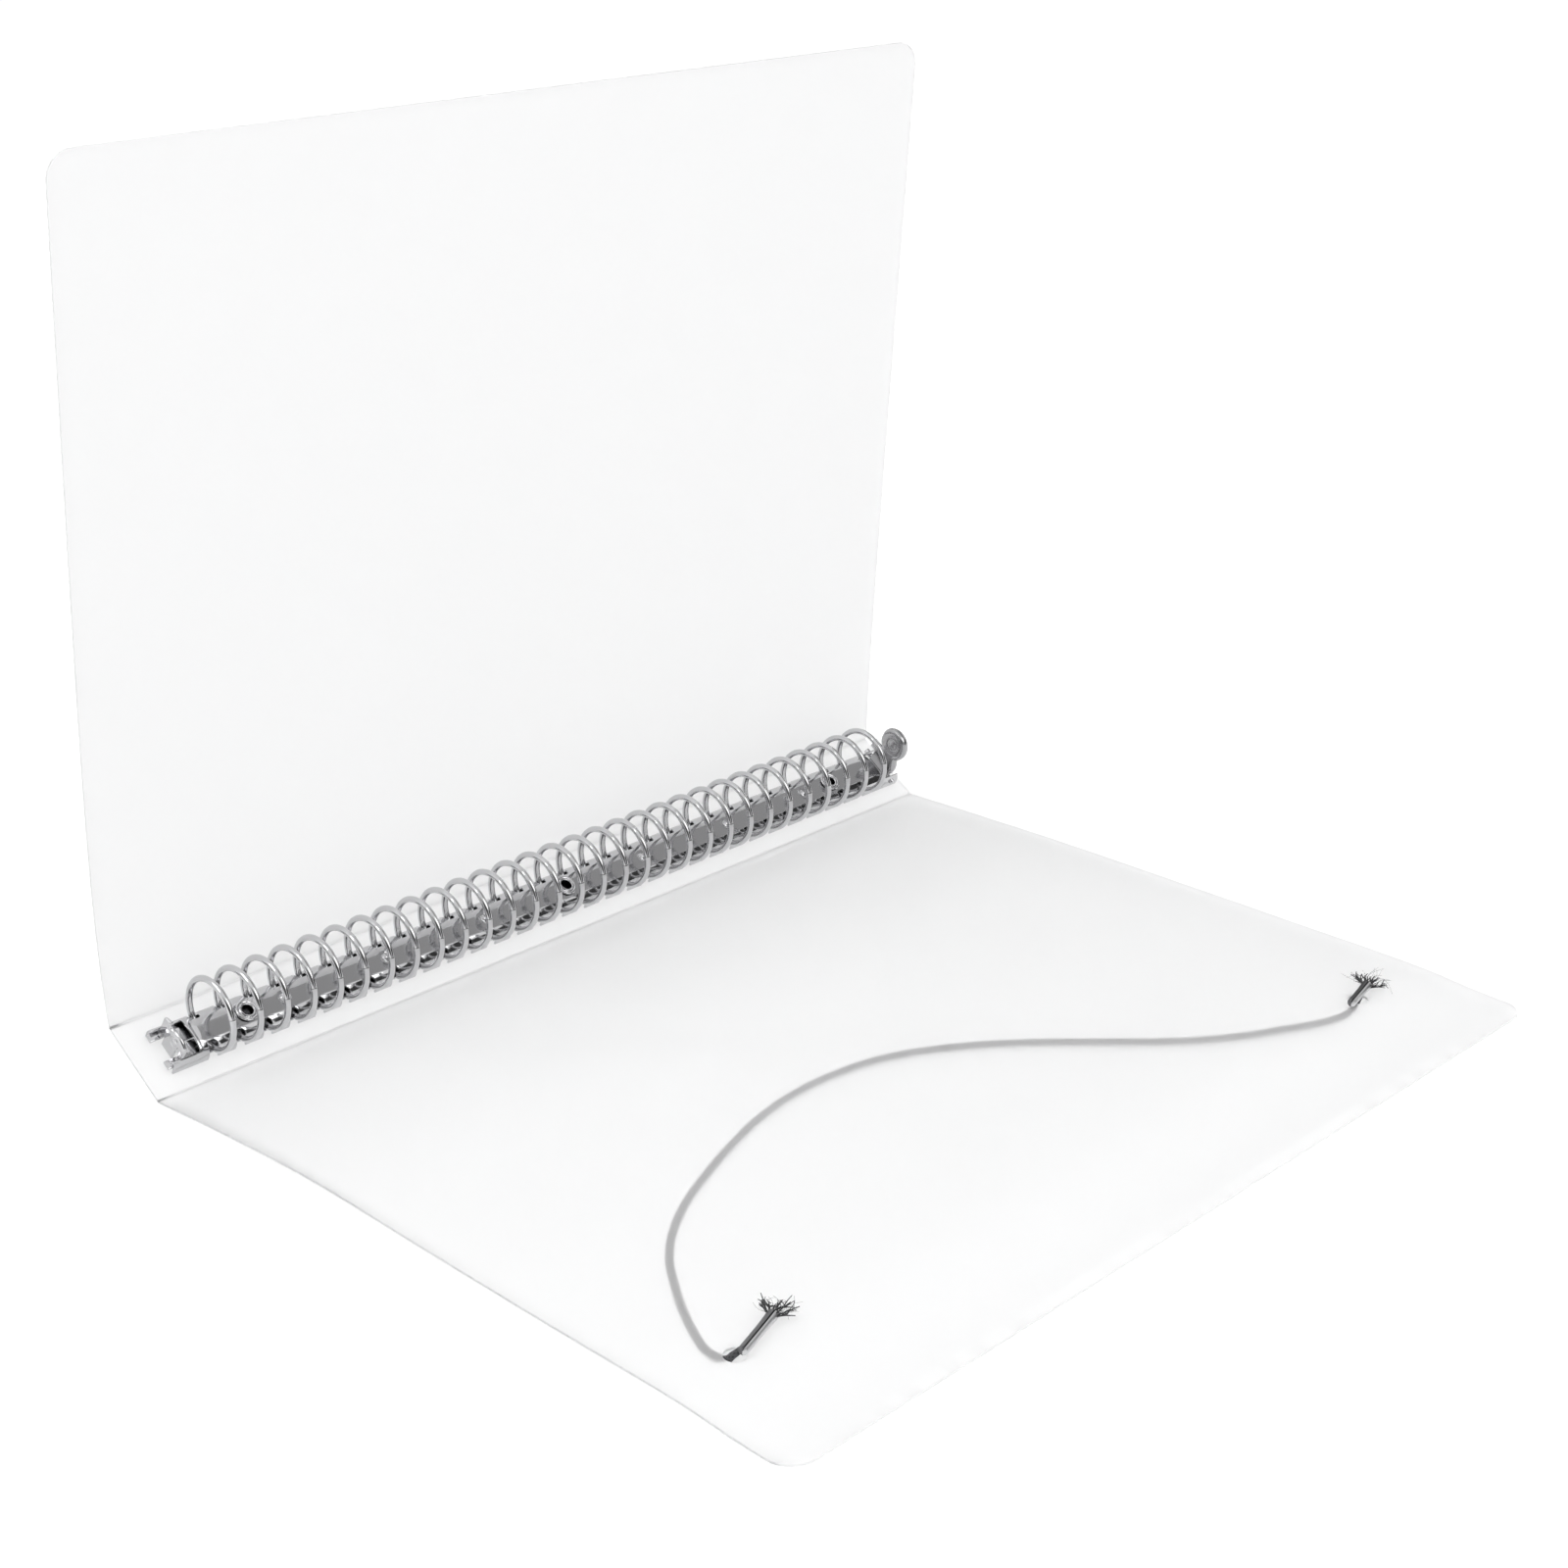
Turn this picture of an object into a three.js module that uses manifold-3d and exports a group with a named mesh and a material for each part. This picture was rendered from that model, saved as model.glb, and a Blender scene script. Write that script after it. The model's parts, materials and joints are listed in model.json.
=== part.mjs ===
import * as THREE from 'three';
import { mergeVertices } from 'three/addons/utils/BufferGeometryUtils.js';
import Module from 'manifold-3d';

// Covers and spine: one frosted plastic sheet, folded along two grooves. Lengths are in millimetres.
const COVER_LENGTH = 320;
const COVER_WIDTH = 250;
const SPINE_WIDTH = 27;
const SHEET = 0.8;
const CORNER_RADIUS = 8;
const FOLD_GAP = 0.9;
const SPINE_ANGLE = THREE.MathUtils.degToRad(34.8);
const BACK_ANGLE = THREE.MathUtils.degToRad(94.9);

// The lying cover bows off the table: lifts of its underside along its near edge, middle and far edge.
const LIFT_SHARES = [0, 0.1, 0.28, 0.48, 0.66, 0.85, 0.925];
const LIFT_NEAR = [0, 1.9, 3.9, 2.9, 2.1, 1.7, 0.4];
const LIFT_MIDDLE = [0, 1.5, 3.3, 3.2, 3.1, 3.1, 0.8];
const LIFT_FAR = [0, 0.8, 1.7, 1.9, 1.9, 1.7, 0.4];
const FLAT_STRIP = 10;
const EDGE_FALL = 10;
const COVER_Y_SHARES = [-1, -0.94, -0.87, -0.7, -0.4, 0, 0.4, 0.7, 0.87, 0.94, 1];
const COVER_X_STEPS = 2;
const CURVE_SEGMENTS = 6;

// The upright cover leans back from its fold, more at its near edge than at its far edge.
const LEAN_MIDDLE = 4.6;
const LEAN_TWIST = 3.1;
const LEAN_REACH = 35;
const BACK_STATIONS = [0, 10, 22, 38, 60, 90, 130, 180];
const BACK_Y_SHARES = [-1, -0.5, 0, 0.5, 1];

// Ring wires: thirty round rings, each in a long left half and a short right half.
const RING_COUNT = 30;
const RING_PITCH = 9.5;
const RING_OUTER_RADIUS = 11.9;
const WIRE_RADIUS = 1;
const RING_CENTRE_HEIGHT = 12.7;
const RING_JOINT = THREE.MathUtils.degToRad(45);
const RING_JOINT_GAP = 0.3;
const WIRE_SIDES = 6;
const LONG_STEPS = 9;
const SHORT_STEPS = 5;

// Shield: an arched steel plate over two flat blades that carry the ring wires.
const SHIELD_HALF_WIDTH = 7.5;
const SHIELD_RISE = 5.3;
const SHIELD_WALL = 0.6;
const SHIELD_CURVE = 2.5;
const SHIELD_SEGMENTS = 10;
const SHIELD_NEAR_END = -151.7;
const SHIELD_FAR_END = 157;
const CROWN_NEAR_END = -142.2;
const CROWN_FAR_END = 149;
const FLANK_HEIGHT = 4.2;
const NOTCH_INNER = 4;
const NOTCH_WIDTH = 3.4;
const SEAT_GAP = 0.3;

const BLADE_INNER = 0.15;
const BLADE_OUTER = 6.4;
const BLADE_BOTTOM = 1.5;
const BLADE_THICKNESS = 0.8;
const BLADE_NEAR_END = -147;
const BLADE_FAR_END = 150;
const TAB_INNER = 3.6;
const TAB_LENGTH = 6;
const WIRE_FOOT = 3;

// Hollow rivets and stamped domes along the shield.
const RIVET_SHIFT = 1.3;
const RIVET_SPACING = 124.3;
const RIVET_BORE = 1.75;
const RIVET_SHANK = 2.4;
const RIVET_FLANGE = 3.6;
const RIVET_FLANGE_THICKNESS = 0.8;
const RIVET_FOOT = 4.2;
const RIVET_FOOT_THICKNESS = 0.6;
const RIVET_ROLL_SHARE = 0.8;
const RIVET_FLOOR = 1;
const RIVET_CLEARANCE = 0.3;
const BLADE_RELIEF = 0.7;
const DOME_OFFSETS = [34, 73, 111];
const DOME_RADIUS = 2;
const DOME_HEIGHT = 0.5;
const DOME_FLAT_SHARE = 0.7;
const DOME_SHOULDER_SHARE = 0.6;
const ROUND_SEGMENTS = 16;

// Opening lever at the far end, on a cross pin, and the upright plate at the near end.
const PIN_RADIUS = 1;
const PIN_HEIGHT = 2.4;
const PIN_PROUD = 0.5;
const PIN_FROM_END = 3;
const LEVER_THICKNESS = 1.2;
const LEVER_BACK = 0.4;
const KNUCKLE_RADIUS = 1.7;
const LEVER_SIDE_GAP = 0.5;
const LEVER_FOOT_BOTTOM = 1;
const WING_BOTTOM = 6.8;
const WING_TOP = 10.4;
const WING_HALF = 7;
const NECK_HALF = 2.9;
const HEAD_RADIUS = 5.4;
const HEAD_HEIGHT = 15.4;
const PLATE_THICKNESS = 1;
const PLATE_FACE = -149.4;
const PLATE_HALF = 5.6;
const PLATE_FOOT_HALF = 2.8;
const PLATE_SEAT_GAP = 0.5;
const PLATE_TOP = 8.6;
const PLATE_HUMP = 2.6;

// Elastic cord under the lying cover, up through two holes, with a crimped metal tip at each end.
// Points are measured from the middle of the fold beside the lying cover.
const CORD_RADIUS = 1.15;
const CORD_SIDES = 8;
const CORD_STEPS = 80;
const CORD_HOLE_RADIUS = 3;
const NEAR_HOLE = [210.6, -138.7];
const FAR_HOLE = [212.4, 125.2];
const CORD_POINTS = [
  [210.5, -138.3, 3.85], [209.9, -138.8, 3], [209.1, -139.3, 2], [207.9, -139.9, 1.36],
  [206.2, -140.3, 1.25], [204.2, -140.4, 1.25], [201, -139.8, 1.25], [196.4, -137.8, 1.25],
  [190, -134.5, 1.25], [183.4, -130.6, 1.25],
  [175.4, -125.1, 1.25], [166.5, -118.4, 1.25], [157.5, -108.6, 1.25],
  [149.6, -96.6, 1.25], [142.6, -82, 1.25], [136.4, -66.6, 1.25], [131.2, -50.6, 1.25],
  [128.4, -34.4, 1.25], [128.4, -18, 1.25], [131.6, -1, 1.25], [138.4, 13.6, 1.25],
  [148.4, 28.2, 1.25], [160.6, 41.8, 1.25], [173.4, 54.2, 1.25], [185.6, 66.4, 1.25],
  [196.4, 79.8, 1.25], [204.6, 94.4, 1.25], [209.8, 105, 1.25], [212.3, 111.6, 1.25],
  [213.2, 117, 1.25], [212.9, 121, 1.3], [212.7, 122.8, 1.75], [212.5, 124.2, 2.4], [212.4, 125.3, 3],
];

// Each tip is a straight crimped bar just over the cover and the end of its cord.
const TIP_RADIUS = 1.35;
const TIP_HEIGHT = 5.7;
const NEAR_TIP = [[213.3, -139.1], [207.3, -122.3]];
const FAR_TIP = [[214.6, 117.6], [211, 131.8]];
const TIP_SIDES = 10;

// Cutting shapes reach this far past what they cut.
const CUT_MARGIN = 1;
const MERGE_TOLERANCE = 1e-4;
const wasm = await Module();
wasm.setup();

function toSolid(geometry) {
  const bare = geometry.clone();
  bare.deleteAttribute('normal');
  bare.deleteAttribute('uv');
  const merged = mergeVertices(bare, MERGE_TOLERANCE);
  const vertProperties = Float32Array.from(merged.attributes.position.array);
  const triVerts = Uint32Array.from(merged.index.array);
  return new wasm.Manifold(new wasm.Mesh({ numProp: 3, vertProperties, triVerts }));
}

function toGeometry(solid) {
  const mesh = solid.getMesh();
  const geometry = new THREE.BufferGeometry();
  geometry.setAttribute('position', new THREE.BufferAttribute(mesh.vertProperties, 3));
  geometry.setIndex(new THREE.BufferAttribute(mesh.triVerts, 1));
  geometry.computeVertexNormals();
  return geometry;
}

function named(name, geometry, material) {
  const mesh = new THREE.Mesh(geometry, material.clone());
  mesh.name = name;
  return mesh;
}

function block(x0, x1, y0, y1, z0, z1) {
  const geometry = new THREE.BoxGeometry(x1 - x0, y1 - y0, z1 - z0);
  return geometry.translate((x0 + x1) / 2, (y0 + y1) / 2, (z0 + z1) / 2);
}

// A flat outline in x and z, drawn out along y from start to end.
function prismAlongY(shape, start, end) {
  const options = { depth: end - start, bevelEnabled: false, curveSegments: CURVE_SEGMENTS };
  const geometry = new THREE.ExtrudeGeometry(shape, options);
  return geometry.rotateX(Math.PI / 2).translate(0, end, 0);
}

function uprightCylinder(radius, x, y, z0, z1) {
  const geometry = new THREE.CylinderGeometry(radius, radius, z1 - z0, ROUND_SEGMENTS);
  return geometry.rotateX(Math.PI / 2).translate(x, y, (z0 + z1) / 2);
}

function crossCylinder(radius, half, y, z) {
  const geometry = new THREE.CylinderGeometry(radius, radius, 2 * half, ROUND_SEGMENTS);
  return geometry.rotateZ(Math.PI / 2).translate(0, y, z);
}

// A turned piece from its profile of radius and height, standing on the z axis.
function turned(profile) {
  const points = profile.map(([radius, height]) => new THREE.Vector2(radius, height));
  return new THREE.LatheGeometry(points, ROUND_SEGMENTS).rotateX(Math.PI / 2);
}

// A smooth line through stations and their values, with each slope taken from the two neighbours.
function smoothValue(stations, values, at) {
  const last = stations.length - 1;
  const found = stations.findIndex((station, i) => i > 0 && at <= station);
  const i = found < 0 ? last : found;
  const span = stations[i] - stations[i - 1];
  const t = (at - stations[i - 1]) / span;
  const slope = (k) => {
    const low = Math.max(k - 1, 0);
    const high = Math.min(k + 1, last);
    return (values[high] - values[low]) / (stations[high] - stations[low]);
  };
  const blend = t * t * (3 - 2 * t);
  const start = slope(i - 1) * span * t * (1 - t) * (1 - t);
  const end = slope(i) * span * t * t * (1 - t);
  return values[i - 1] * (1 - blend) + values[i] * blend + start - end;
}

// A sheet with grid lines at the given places, lifted by a height for each place.
function bentSheet(xStations, yStations, height) {
  const xSteps = xStations.length - 1;
  const ySteps = yStations.length - 1;
  const geometry = new THREE.BoxGeometry(1, 1, SHEET, xSteps, ySteps, 1);
  const position = geometry.attributes.position;
  for (let k = 0; k < position.count; k += 1) {
    const x = xStations[Math.round((position.getX(k) + 0.5) * xSteps)];
    const y = yStations[Math.round((position.getY(k) + 0.5) * ySteps)];
    position.setXYZ(k, x, y, position.getZ(k) + height(x, y));
  }
  return geometry;
}

// The outline of a cover: square at its fold, rounded at its two outer corners.
function coverOutline(width) {
  const half = COVER_LENGTH / 2;
  const shape = new THREE.Shape();
  shape.moveTo(0, -half);
  shape.lineTo(width - CORNER_RADIUS, -half);
  shape.absarc(width - CORNER_RADIUS, CORNER_RADIUS - half, CORNER_RADIUS, -Math.PI / 2, 0, false);
  shape.absarc(width - CORNER_RADIUS, half - CORNER_RADIUS, CORNER_RADIUS, 0, Math.PI / 2, false);
  shape.lineTo(0, half);
  const depth = 2 * CORNER_RADIUS + 2 * LEAN_MIDDLE + 2 * LEAN_TWIST;
  const options = { depth, bevelEnabled: false, curveSegments: CURVE_SEGMENTS };
  const geometry = new THREE.ExtrudeGeometry(shape, options);
  return geometry.translate(0, 0, -depth / 2);
}

const liftStations = [...LIFT_SHARES.map((share) => share * COVER_WIDTH), COVER_WIDTH - FLAT_STRIP];

// How high the lying cover stands off the table at a place. Its outer strip lies flat.
function coverLift(x, y) {
  if (x >= COVER_WIDTH - FLAT_STRIP) {
    return 0;
  }
  const share = (2 * y) / COVER_LENGTH;
  const atMiddle = smoothValue(liftStations, [...LIFT_MIDDLE, 0], x);
  const atEdge = smoothValue(liftStations, [...(share < 0 ? LIFT_NEAR : LIFT_FAR), 0], x);
  const edge = Math.abs(share) ** EDGE_FALL;
  return atMiddle * (1 - edge) + atEdge * edge;
}

// How far the upright cover has moved from the plane of its fold, measured along the outline's own z.
function coverLean(reach, y) {
  const depth = LEAN_MIDDLE - (LEAN_TWIST * 2 * y) / COVER_LENGTH;
  return -depth * (1 - Math.exp(-reach / LEAN_REACH));
}

const frosted = new THREE.MeshStandardMaterial({ color: 0xf4f5f6, roughness: 0.45, metalness: 0 });
const steel = new THREE.MeshStandardMaterial({ color: 0xc9cacc, roughness: 0.18, metalness: 1 });
const elastic = new THREE.MeshStandardMaterial({ color: 0x2b2c2f, roughness: 0.9, metalness: 0 });
const crimp = new THREE.MeshStandardMaterial({ color: 0xb4b5b8, roughness: 0.3, metalness: 1 });

function makeFrontCover() {
  const inner = [];
  for (let k = 1; k < liftStations.length; k += 1) {
    for (let part = 1; part <= COVER_X_STEPS; part += 1) {
      inner.push(liftStations[k - 1] + ((liftStations[k] - liftStations[k - 1]) * part) / COVER_X_STEPS);
    }
  }
  const xStations = [FOLD_GAP / 2, ...inner, COVER_WIDTH];
  const yStations = COVER_Y_SHARES.map((share) => (share * COVER_LENGTH) / 2);
  let solid = toSolid(bentSheet(xStations, yStations, coverLift));
  solid = solid.intersect(toSolid(coverOutline(COVER_WIDTH)));
  for (const [x, y] of [NEAR_HOLE, FAR_HOLE]) {
    solid = solid.subtract(toSolid(uprightCylinder(CORD_HOLE_RADIUS, x, y, -CORNER_RADIUS, CORNER_RADIUS)));
  }
  return named('front_cover', toGeometry(solid), frosted);
}

function makeBackCover() {
  const reaches = [FOLD_GAP / 2, ...BACK_STATIONS.slice(1), COVER_WIDTH];
  const yStations = BACK_Y_SHARES.map((share) => (share * COVER_LENGTH) / 2);
  const sheet = bentSheet(reaches, yStations, (reach, y) => coverLean(reach, -y));
  const solid = toSolid(sheet).intersect(toSolid(coverOutline(COVER_WIDTH)));
  return named('back_cover', toGeometry(solid).rotateZ(Math.PI), frosted);
}

const rivetPlaces = [-1, 0, 1].map((side) => RIVET_SHIFT + side * RIVET_SPACING);

function makeSpinePanel() {
  const edge = FOLD_GAP / 2;
  const half = COVER_LENGTH / 2;
  let solid = toSolid(block(edge - SPINE_WIDTH, -edge, -half, half, -SHEET / 2, SHEET / 2));
  for (const y of rivetPlaces) {
    const hole = uprightCylinder(RIVET_SHANK + RIVET_CLEARANCE, -SPINE_WIDTH / 2, y, -SHEET, SHEET);
    solid = solid.subtract(toSolid(hole));
  }
  return named('spine_panel', toGeometry(solid), frosted);
}

// From here on pieces are placed on the spine: x across it, y along it, z up from its inner face.
const shieldCrown = SEAT_GAP + SHIELD_RISE;
const pinY = SHIELD_FAR_END - PIN_FROM_END;

function archPoint(angle, inset) {
  const power = 2 / SHIELD_CURVE;
  const across = Math.cos(angle);
  const x = Math.sign(across) * (SHIELD_HALF_WIDTH - inset) * Math.abs(across) ** power;
  const z = SEAT_GAP + (SHIELD_RISE - inset) * Math.abs(Math.sin(angle)) ** power;
  return new THREE.Vector2(x, z);
}

// Half the clear width between the flanks at a height above the spine.
function flankInside(height) {
  const rise = (height - SEAT_GAP) / (SHIELD_RISE - SHIELD_WALL);
  return (SHIELD_HALF_WIDTH - SHIELD_WALL) * (1 - rise ** SHIELD_CURVE) ** (1 / SHIELD_CURVE);
}

function ringPlaces() {
  return Array.from({ length: RING_COUNT }, (_, i) => (i - (RING_COUNT - 1) / 2) * RING_PITCH);
}

function makeShield() {
  const angles = Array.from({ length: SHIELD_SEGMENTS + 1 }, (_, i) => (i * Math.PI) / SHIELD_SEGMENTS);
  const outer = angles.map((angle) => archPoint(angle, 0));
  const inner = angles.map((angle) => archPoint(angle, SHIELD_WALL)).reverse();
  const arch = new THREE.Shape([...outer, ...inner]);
  let solid = toSolid(prismAlongY(arch, SHIELD_NEAR_END, SHIELD_FAR_END));
  const reach = SHIELD_HALF_WIDTH + CUT_MARGIN;
  const above = shieldCrown + CUT_MARGIN;
  for (const offset of DOME_OFFSETS) {
    for (const side of [-1, 1]) {
      const y = RIVET_SHIFT + side * offset;
      const dome = turned([
        [0, shieldCrown - SHIELD_WALL / 2], [DOME_RADIUS, shieldCrown - SHIELD_WALL / 2],
        [DOME_RADIUS * DOME_FLAT_SHARE, shieldCrown + DOME_HEIGHT * DOME_SHOULDER_SHARE],
        [0, shieldCrown + DOME_HEIGHT],
      ]);
      solid = solid.add(toSolid(dome.translate(0, y, 0)));
    }
  }
  for (const y of ringPlaces()) {
    for (const side of [-1, 1]) {
      const x0 = side < 0 ? -reach : NOTCH_INNER;
      const x1 = side < 0 ? -NOTCH_INNER : reach;
      const notch = block(x0, x1, y - NOTCH_WIDTH / 2, y + NOTCH_WIDTH / 2, -CUT_MARGIN, above);
      solid = solid.subtract(toSolid(notch));
    }
  }
  for (const y of rivetPlaces) {
    const hole = uprightCylinder(RIVET_SHANK + RIVET_CLEARANCE, 0, y, shieldCrown - SHIELD_RISE / 2, above);
    solid = solid.subtract(toSolid(hole));
  }
  const nearCut = block(-reach, reach, SHIELD_NEAR_END - CUT_MARGIN, CROWN_NEAR_END, FLANK_HEIGHT, above);
  const farCut = block(-reach, reach, CROWN_FAR_END, SHIELD_FAR_END + CUT_MARGIN, FLANK_HEIGHT, above);
  solid = solid.subtract(toSolid(nearCut)).subtract(toSolid(farCut));
  solid = solid.subtract(toSolid(crossCylinder(PIN_RADIUS + RIVET_CLEARANCE, reach, pinY, PIN_HEIGHT)));
  return named('mechanism_shield', toGeometry(solid), steel);
}

// One half of a ring wire, as a round bar bent along an arc about the ring's centre.
function ringHalf(from, to, steps) {
  const radius = RING_OUTER_RADIUS - WIRE_RADIUS;
  const points = Array.from({ length: 2 * steps + 1 }, (_, i) => {
    const angle = from + ((to - from) * i) / (2 * steps);
    return new THREE.Vector3(radius * Math.cos(angle), 0, RING_CENTRE_HEIGHT + radius * Math.sin(angle));
  });
  const section = new THREE.Shape(Array.from({ length: WIRE_SIDES }, (_, i) => {
    const angle = (i * 2 * Math.PI) / WIRE_SIDES;
    return new THREE.Vector2(WIRE_RADIUS * Math.cos(angle), WIRE_RADIUS * Math.sin(angle));
  }));
  const extrudePath = new THREE.CatmullRomCurve3(points);
  return new THREE.ExtrudeGeometry(section, { extrudePath, steps, bevelEnabled: false });
}

function makeRingBar(name, side) {
  const top = BLADE_BOTTOM + BLADE_THICKNESS;
  const span = (inner) => (side < 0 ? [-BLADE_OUTER, -inner] : [inner, BLADE_OUTER]);
  const [x0, x1] = span(BLADE_INNER);
  const [tab0, tab1] = span(TAB_INNER);
  const tabEnds = [BLADE_NEAR_END - TAB_LENGTH, BLADE_NEAR_END + CUT_MARGIN];
  let solid = toSolid(block(x0, x1, BLADE_NEAR_END, BLADE_FAR_END, BLADE_BOTTOM, top));
  solid = solid.add(toSolid(block(tab0, tab1, ...tabEnds, BLADE_BOTTOM, top)));
  const relief = RIVET_SHANK + BLADE_RELIEF;
  for (const y of rivetPlaces) {
    solid = solid.subtract(toSolid(block(-relief, relief, y - relief, y + relief, 0, top + CUT_MARGIN)));
  }
  const foot = Math.asin(WIRE_FOOT / (RING_OUTER_RADIUS - WIRE_RADIUS));
  const gap = RING_JOINT_GAP / (2 * RING_OUTER_RADIUS);
  const half = side < 0
    ? ringHalf(1.5 * Math.PI - foot, RING_JOINT + gap, LONG_STEPS)
    : ringHalf(foot - Math.PI / 2, RING_JOINT - gap, SHORT_STEPS);
  for (const y of ringPlaces()) {
    solid = solid.add(toSolid(half.clone().translate(0, y, 0)));
  }
  return named(name, toGeometry(solid), steel);
}

function makeRivet(name, y) {
  const foot = -SHEET - SEAT_GAP - RIVET_FOOT_THICKNESS;
  const seat = shieldCrown + SEAT_GAP;
  const top = seat + RIVET_FLANGE_THICKNESS;
  const rivet = turned([
    [0, foot], [RIVET_FOOT, foot], [RIVET_FOOT, foot + RIVET_FOOT_THICKNESS],
    [RIVET_SHANK, foot + RIVET_FOOT_THICKNESS], [RIVET_SHANK, seat], [RIVET_FLANGE, seat],
    [RIVET_FLANGE * RIVET_ROLL_SHARE, top], [RIVET_BORE, top],
    [RIVET_BORE, foot + RIVET_FLOOR], [0, foot + RIVET_FLOOR],
  ]);
  return named(name, rivet.translate(0, y, 0), steel);
}

function makeEndPlate() {
  const plateShoulder = FLANK_HEIGHT + PLATE_SEAT_GAP;
  const shape = new THREE.Shape();
  shape.moveTo(-PLATE_FOOT_HALF, SEAT_GAP);
  shape.lineTo(PLATE_FOOT_HALF, SEAT_GAP);
  shape.lineTo(PLATE_FOOT_HALF, plateShoulder);
  shape.lineTo(PLATE_HALF, plateShoulder);
  shape.lineTo(PLATE_HALF, PLATE_TOP);
  shape.quadraticCurveTo(PLATE_HALF / 2, PLATE_TOP + PLATE_HUMP, 0, PLATE_TOP + PLATE_HUMP / 2);
  shape.quadraticCurveTo(-PLATE_HALF / 2, PLATE_TOP, -PLATE_HALF / 2, PLATE_TOP + PLATE_HUMP);
  shape.lineTo(-PLATE_HALF, PLATE_TOP + PLATE_HUMP / 2);
  shape.lineTo(-PLATE_HALF, plateShoulder);
  shape.lineTo(-PLATE_FOOT_HALF, plateShoulder);
  return named('near_end_plate', prismAlongY(shape, PLATE_FACE, PLATE_FACE + PLATE_THICKNESS), steel);
}

function makeLever() {
  const face = pinY - LEVER_BACK - LEVER_THICKNESS;
  const neckMeet = Math.asin(NECK_HALF / HEAD_RADIUS);
  const footHalf = flankInside(FLANK_HEIGHT) - LEVER_SIDE_GAP;
  const shape = new THREE.Shape();
  shape.moveTo(-footHalf, LEVER_FOOT_BOTTOM);
  shape.lineTo(footHalf, LEVER_FOOT_BOTTOM);
  shape.lineTo(footHalf, WING_BOTTOM);
  shape.quadraticCurveTo(NECK_HALF, WING_TOP, NECK_HALF, HEAD_HEIGHT - HEAD_RADIUS * Math.cos(neckMeet));
  shape.absarc(0, HEAD_HEIGHT, HEAD_RADIUS, neckMeet - Math.PI / 2, 1.5 * Math.PI - neckMeet, false);
  shape.quadraticCurveTo(-NECK_HALF, WING_TOP, -WING_HALF, WING_TOP);
  shape.lineTo(-WING_HALF, WING_BOTTOM);
  shape.lineTo(-footHalf, WING_BOTTOM);
  let solid = toSolid(prismAlongY(shape, face, face + LEVER_THICKNESS));
  solid = solid.add(toSolid(crossCylinder(KNUCKLE_RADIUS, footHalf, pinY, PIN_HEIGHT)));
  const bore = crossCylinder(PIN_RADIUS + RIVET_CLEARANCE, SHIELD_HALF_WIDTH, pinY, PIN_HEIGHT);
  return named('opening_lever', toGeometry(solid.subtract(toSolid(bore))), steel);
}

function makeLeverPin() {
  const pin = crossCylinder(PIN_RADIUS, SHIELD_HALF_WIDTH + PIN_PROUD, pinY, PIN_HEIGHT);
  return named('lever_pin', pin, steel);
}

function circleShape(radius, sides) {
  return new THREE.Shape(Array.from({ length: sides }, (_, i) => {
    const angle = (i * 2 * Math.PI) / sides;
    return new THREE.Vector2(radius * Math.cos(angle), radius * Math.sin(angle));
  }));
}

function makeCord() {
  const points = CORD_POINTS.map(([x, y, z]) => new THREE.Vector3(x, y, z));
  const extrudePath = new THREE.CatmullRomCurve3(points);
  const section = circleShape(CORD_RADIUS, CORD_SIDES);
  const options = { extrudePath, steps: CORD_STEPS, bevelEnabled: false };
  return named('elastic_cord', new THREE.ExtrudeGeometry(section, options), elastic);
}

function makeTip(name, ends) {
  const [start, finish] = ends.map(([x, y]) => new THREE.Vector3(x, y, TIP_HEIGHT));
  const options = { extrudePath: new THREE.LineCurve3(start, finish), steps: 1, bevelEnabled: false };
  const section = circleShape(TIP_RADIUS, TIP_SIDES);
  return named(name, new THREE.ExtrudeGeometry(section, options), crimp);
}

const binder = new THREE.Group();
const lyingCover = new THREE.Group();
lyingCover.position.set(0, 0, SHEET / 2);
lyingCover.add(makeFrontCover());
binder.add(lyingCover);

const spine = new THREE.Group();
spine.position.set(0, 0, SHEET / 2);
spine.rotation.y = SPINE_ANGLE;
spine.add(makeSpinePanel());
binder.add(spine);

const uprightCover = new THREE.Group();
uprightCover.position.set(-SPINE_WIDTH, 0, 0);
uprightCover.rotation.y = BACK_ANGLE - SPINE_ANGLE;
uprightCover.add(makeBackCover());
spine.add(uprightCover);

const mechanism = new THREE.Group();
mechanism.position.set(-SPINE_WIDTH / 2, 0, SHEET / 2);
mechanism.add(makeShield());
mechanism.add(makeRingBar('left_ring_bar', -1));
mechanism.add(makeRingBar('right_ring_bar', 1));
mechanism.add(makeRivet('near_rivet', rivetPlaces[0]));
mechanism.add(makeRivet('middle_rivet', rivetPlaces[1]));
mechanism.add(makeRivet('far_rivet', rivetPlaces[2]));
mechanism.add(makeEndPlate());
mechanism.add(makeLever());
mechanism.add(makeLeverPin());
spine.add(mechanism);

// The folded sheet stands centred on the origin, on its lowest face.
const footprint = new THREE.Box3().setFromObject(binder, true);
binder.position.x = -(footprint.min.x + footprint.max.x) / 2;

binder.add(makeCord());
binder.add(makeTip('near_cord_tip', NEAR_TIP));
binder.add(makeTip('far_cord_tip', FAR_TIP));

export default binder;
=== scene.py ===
import json
import math
import random

import bmesh
import bpy
from mathutils import Matrix, Vector


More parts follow.
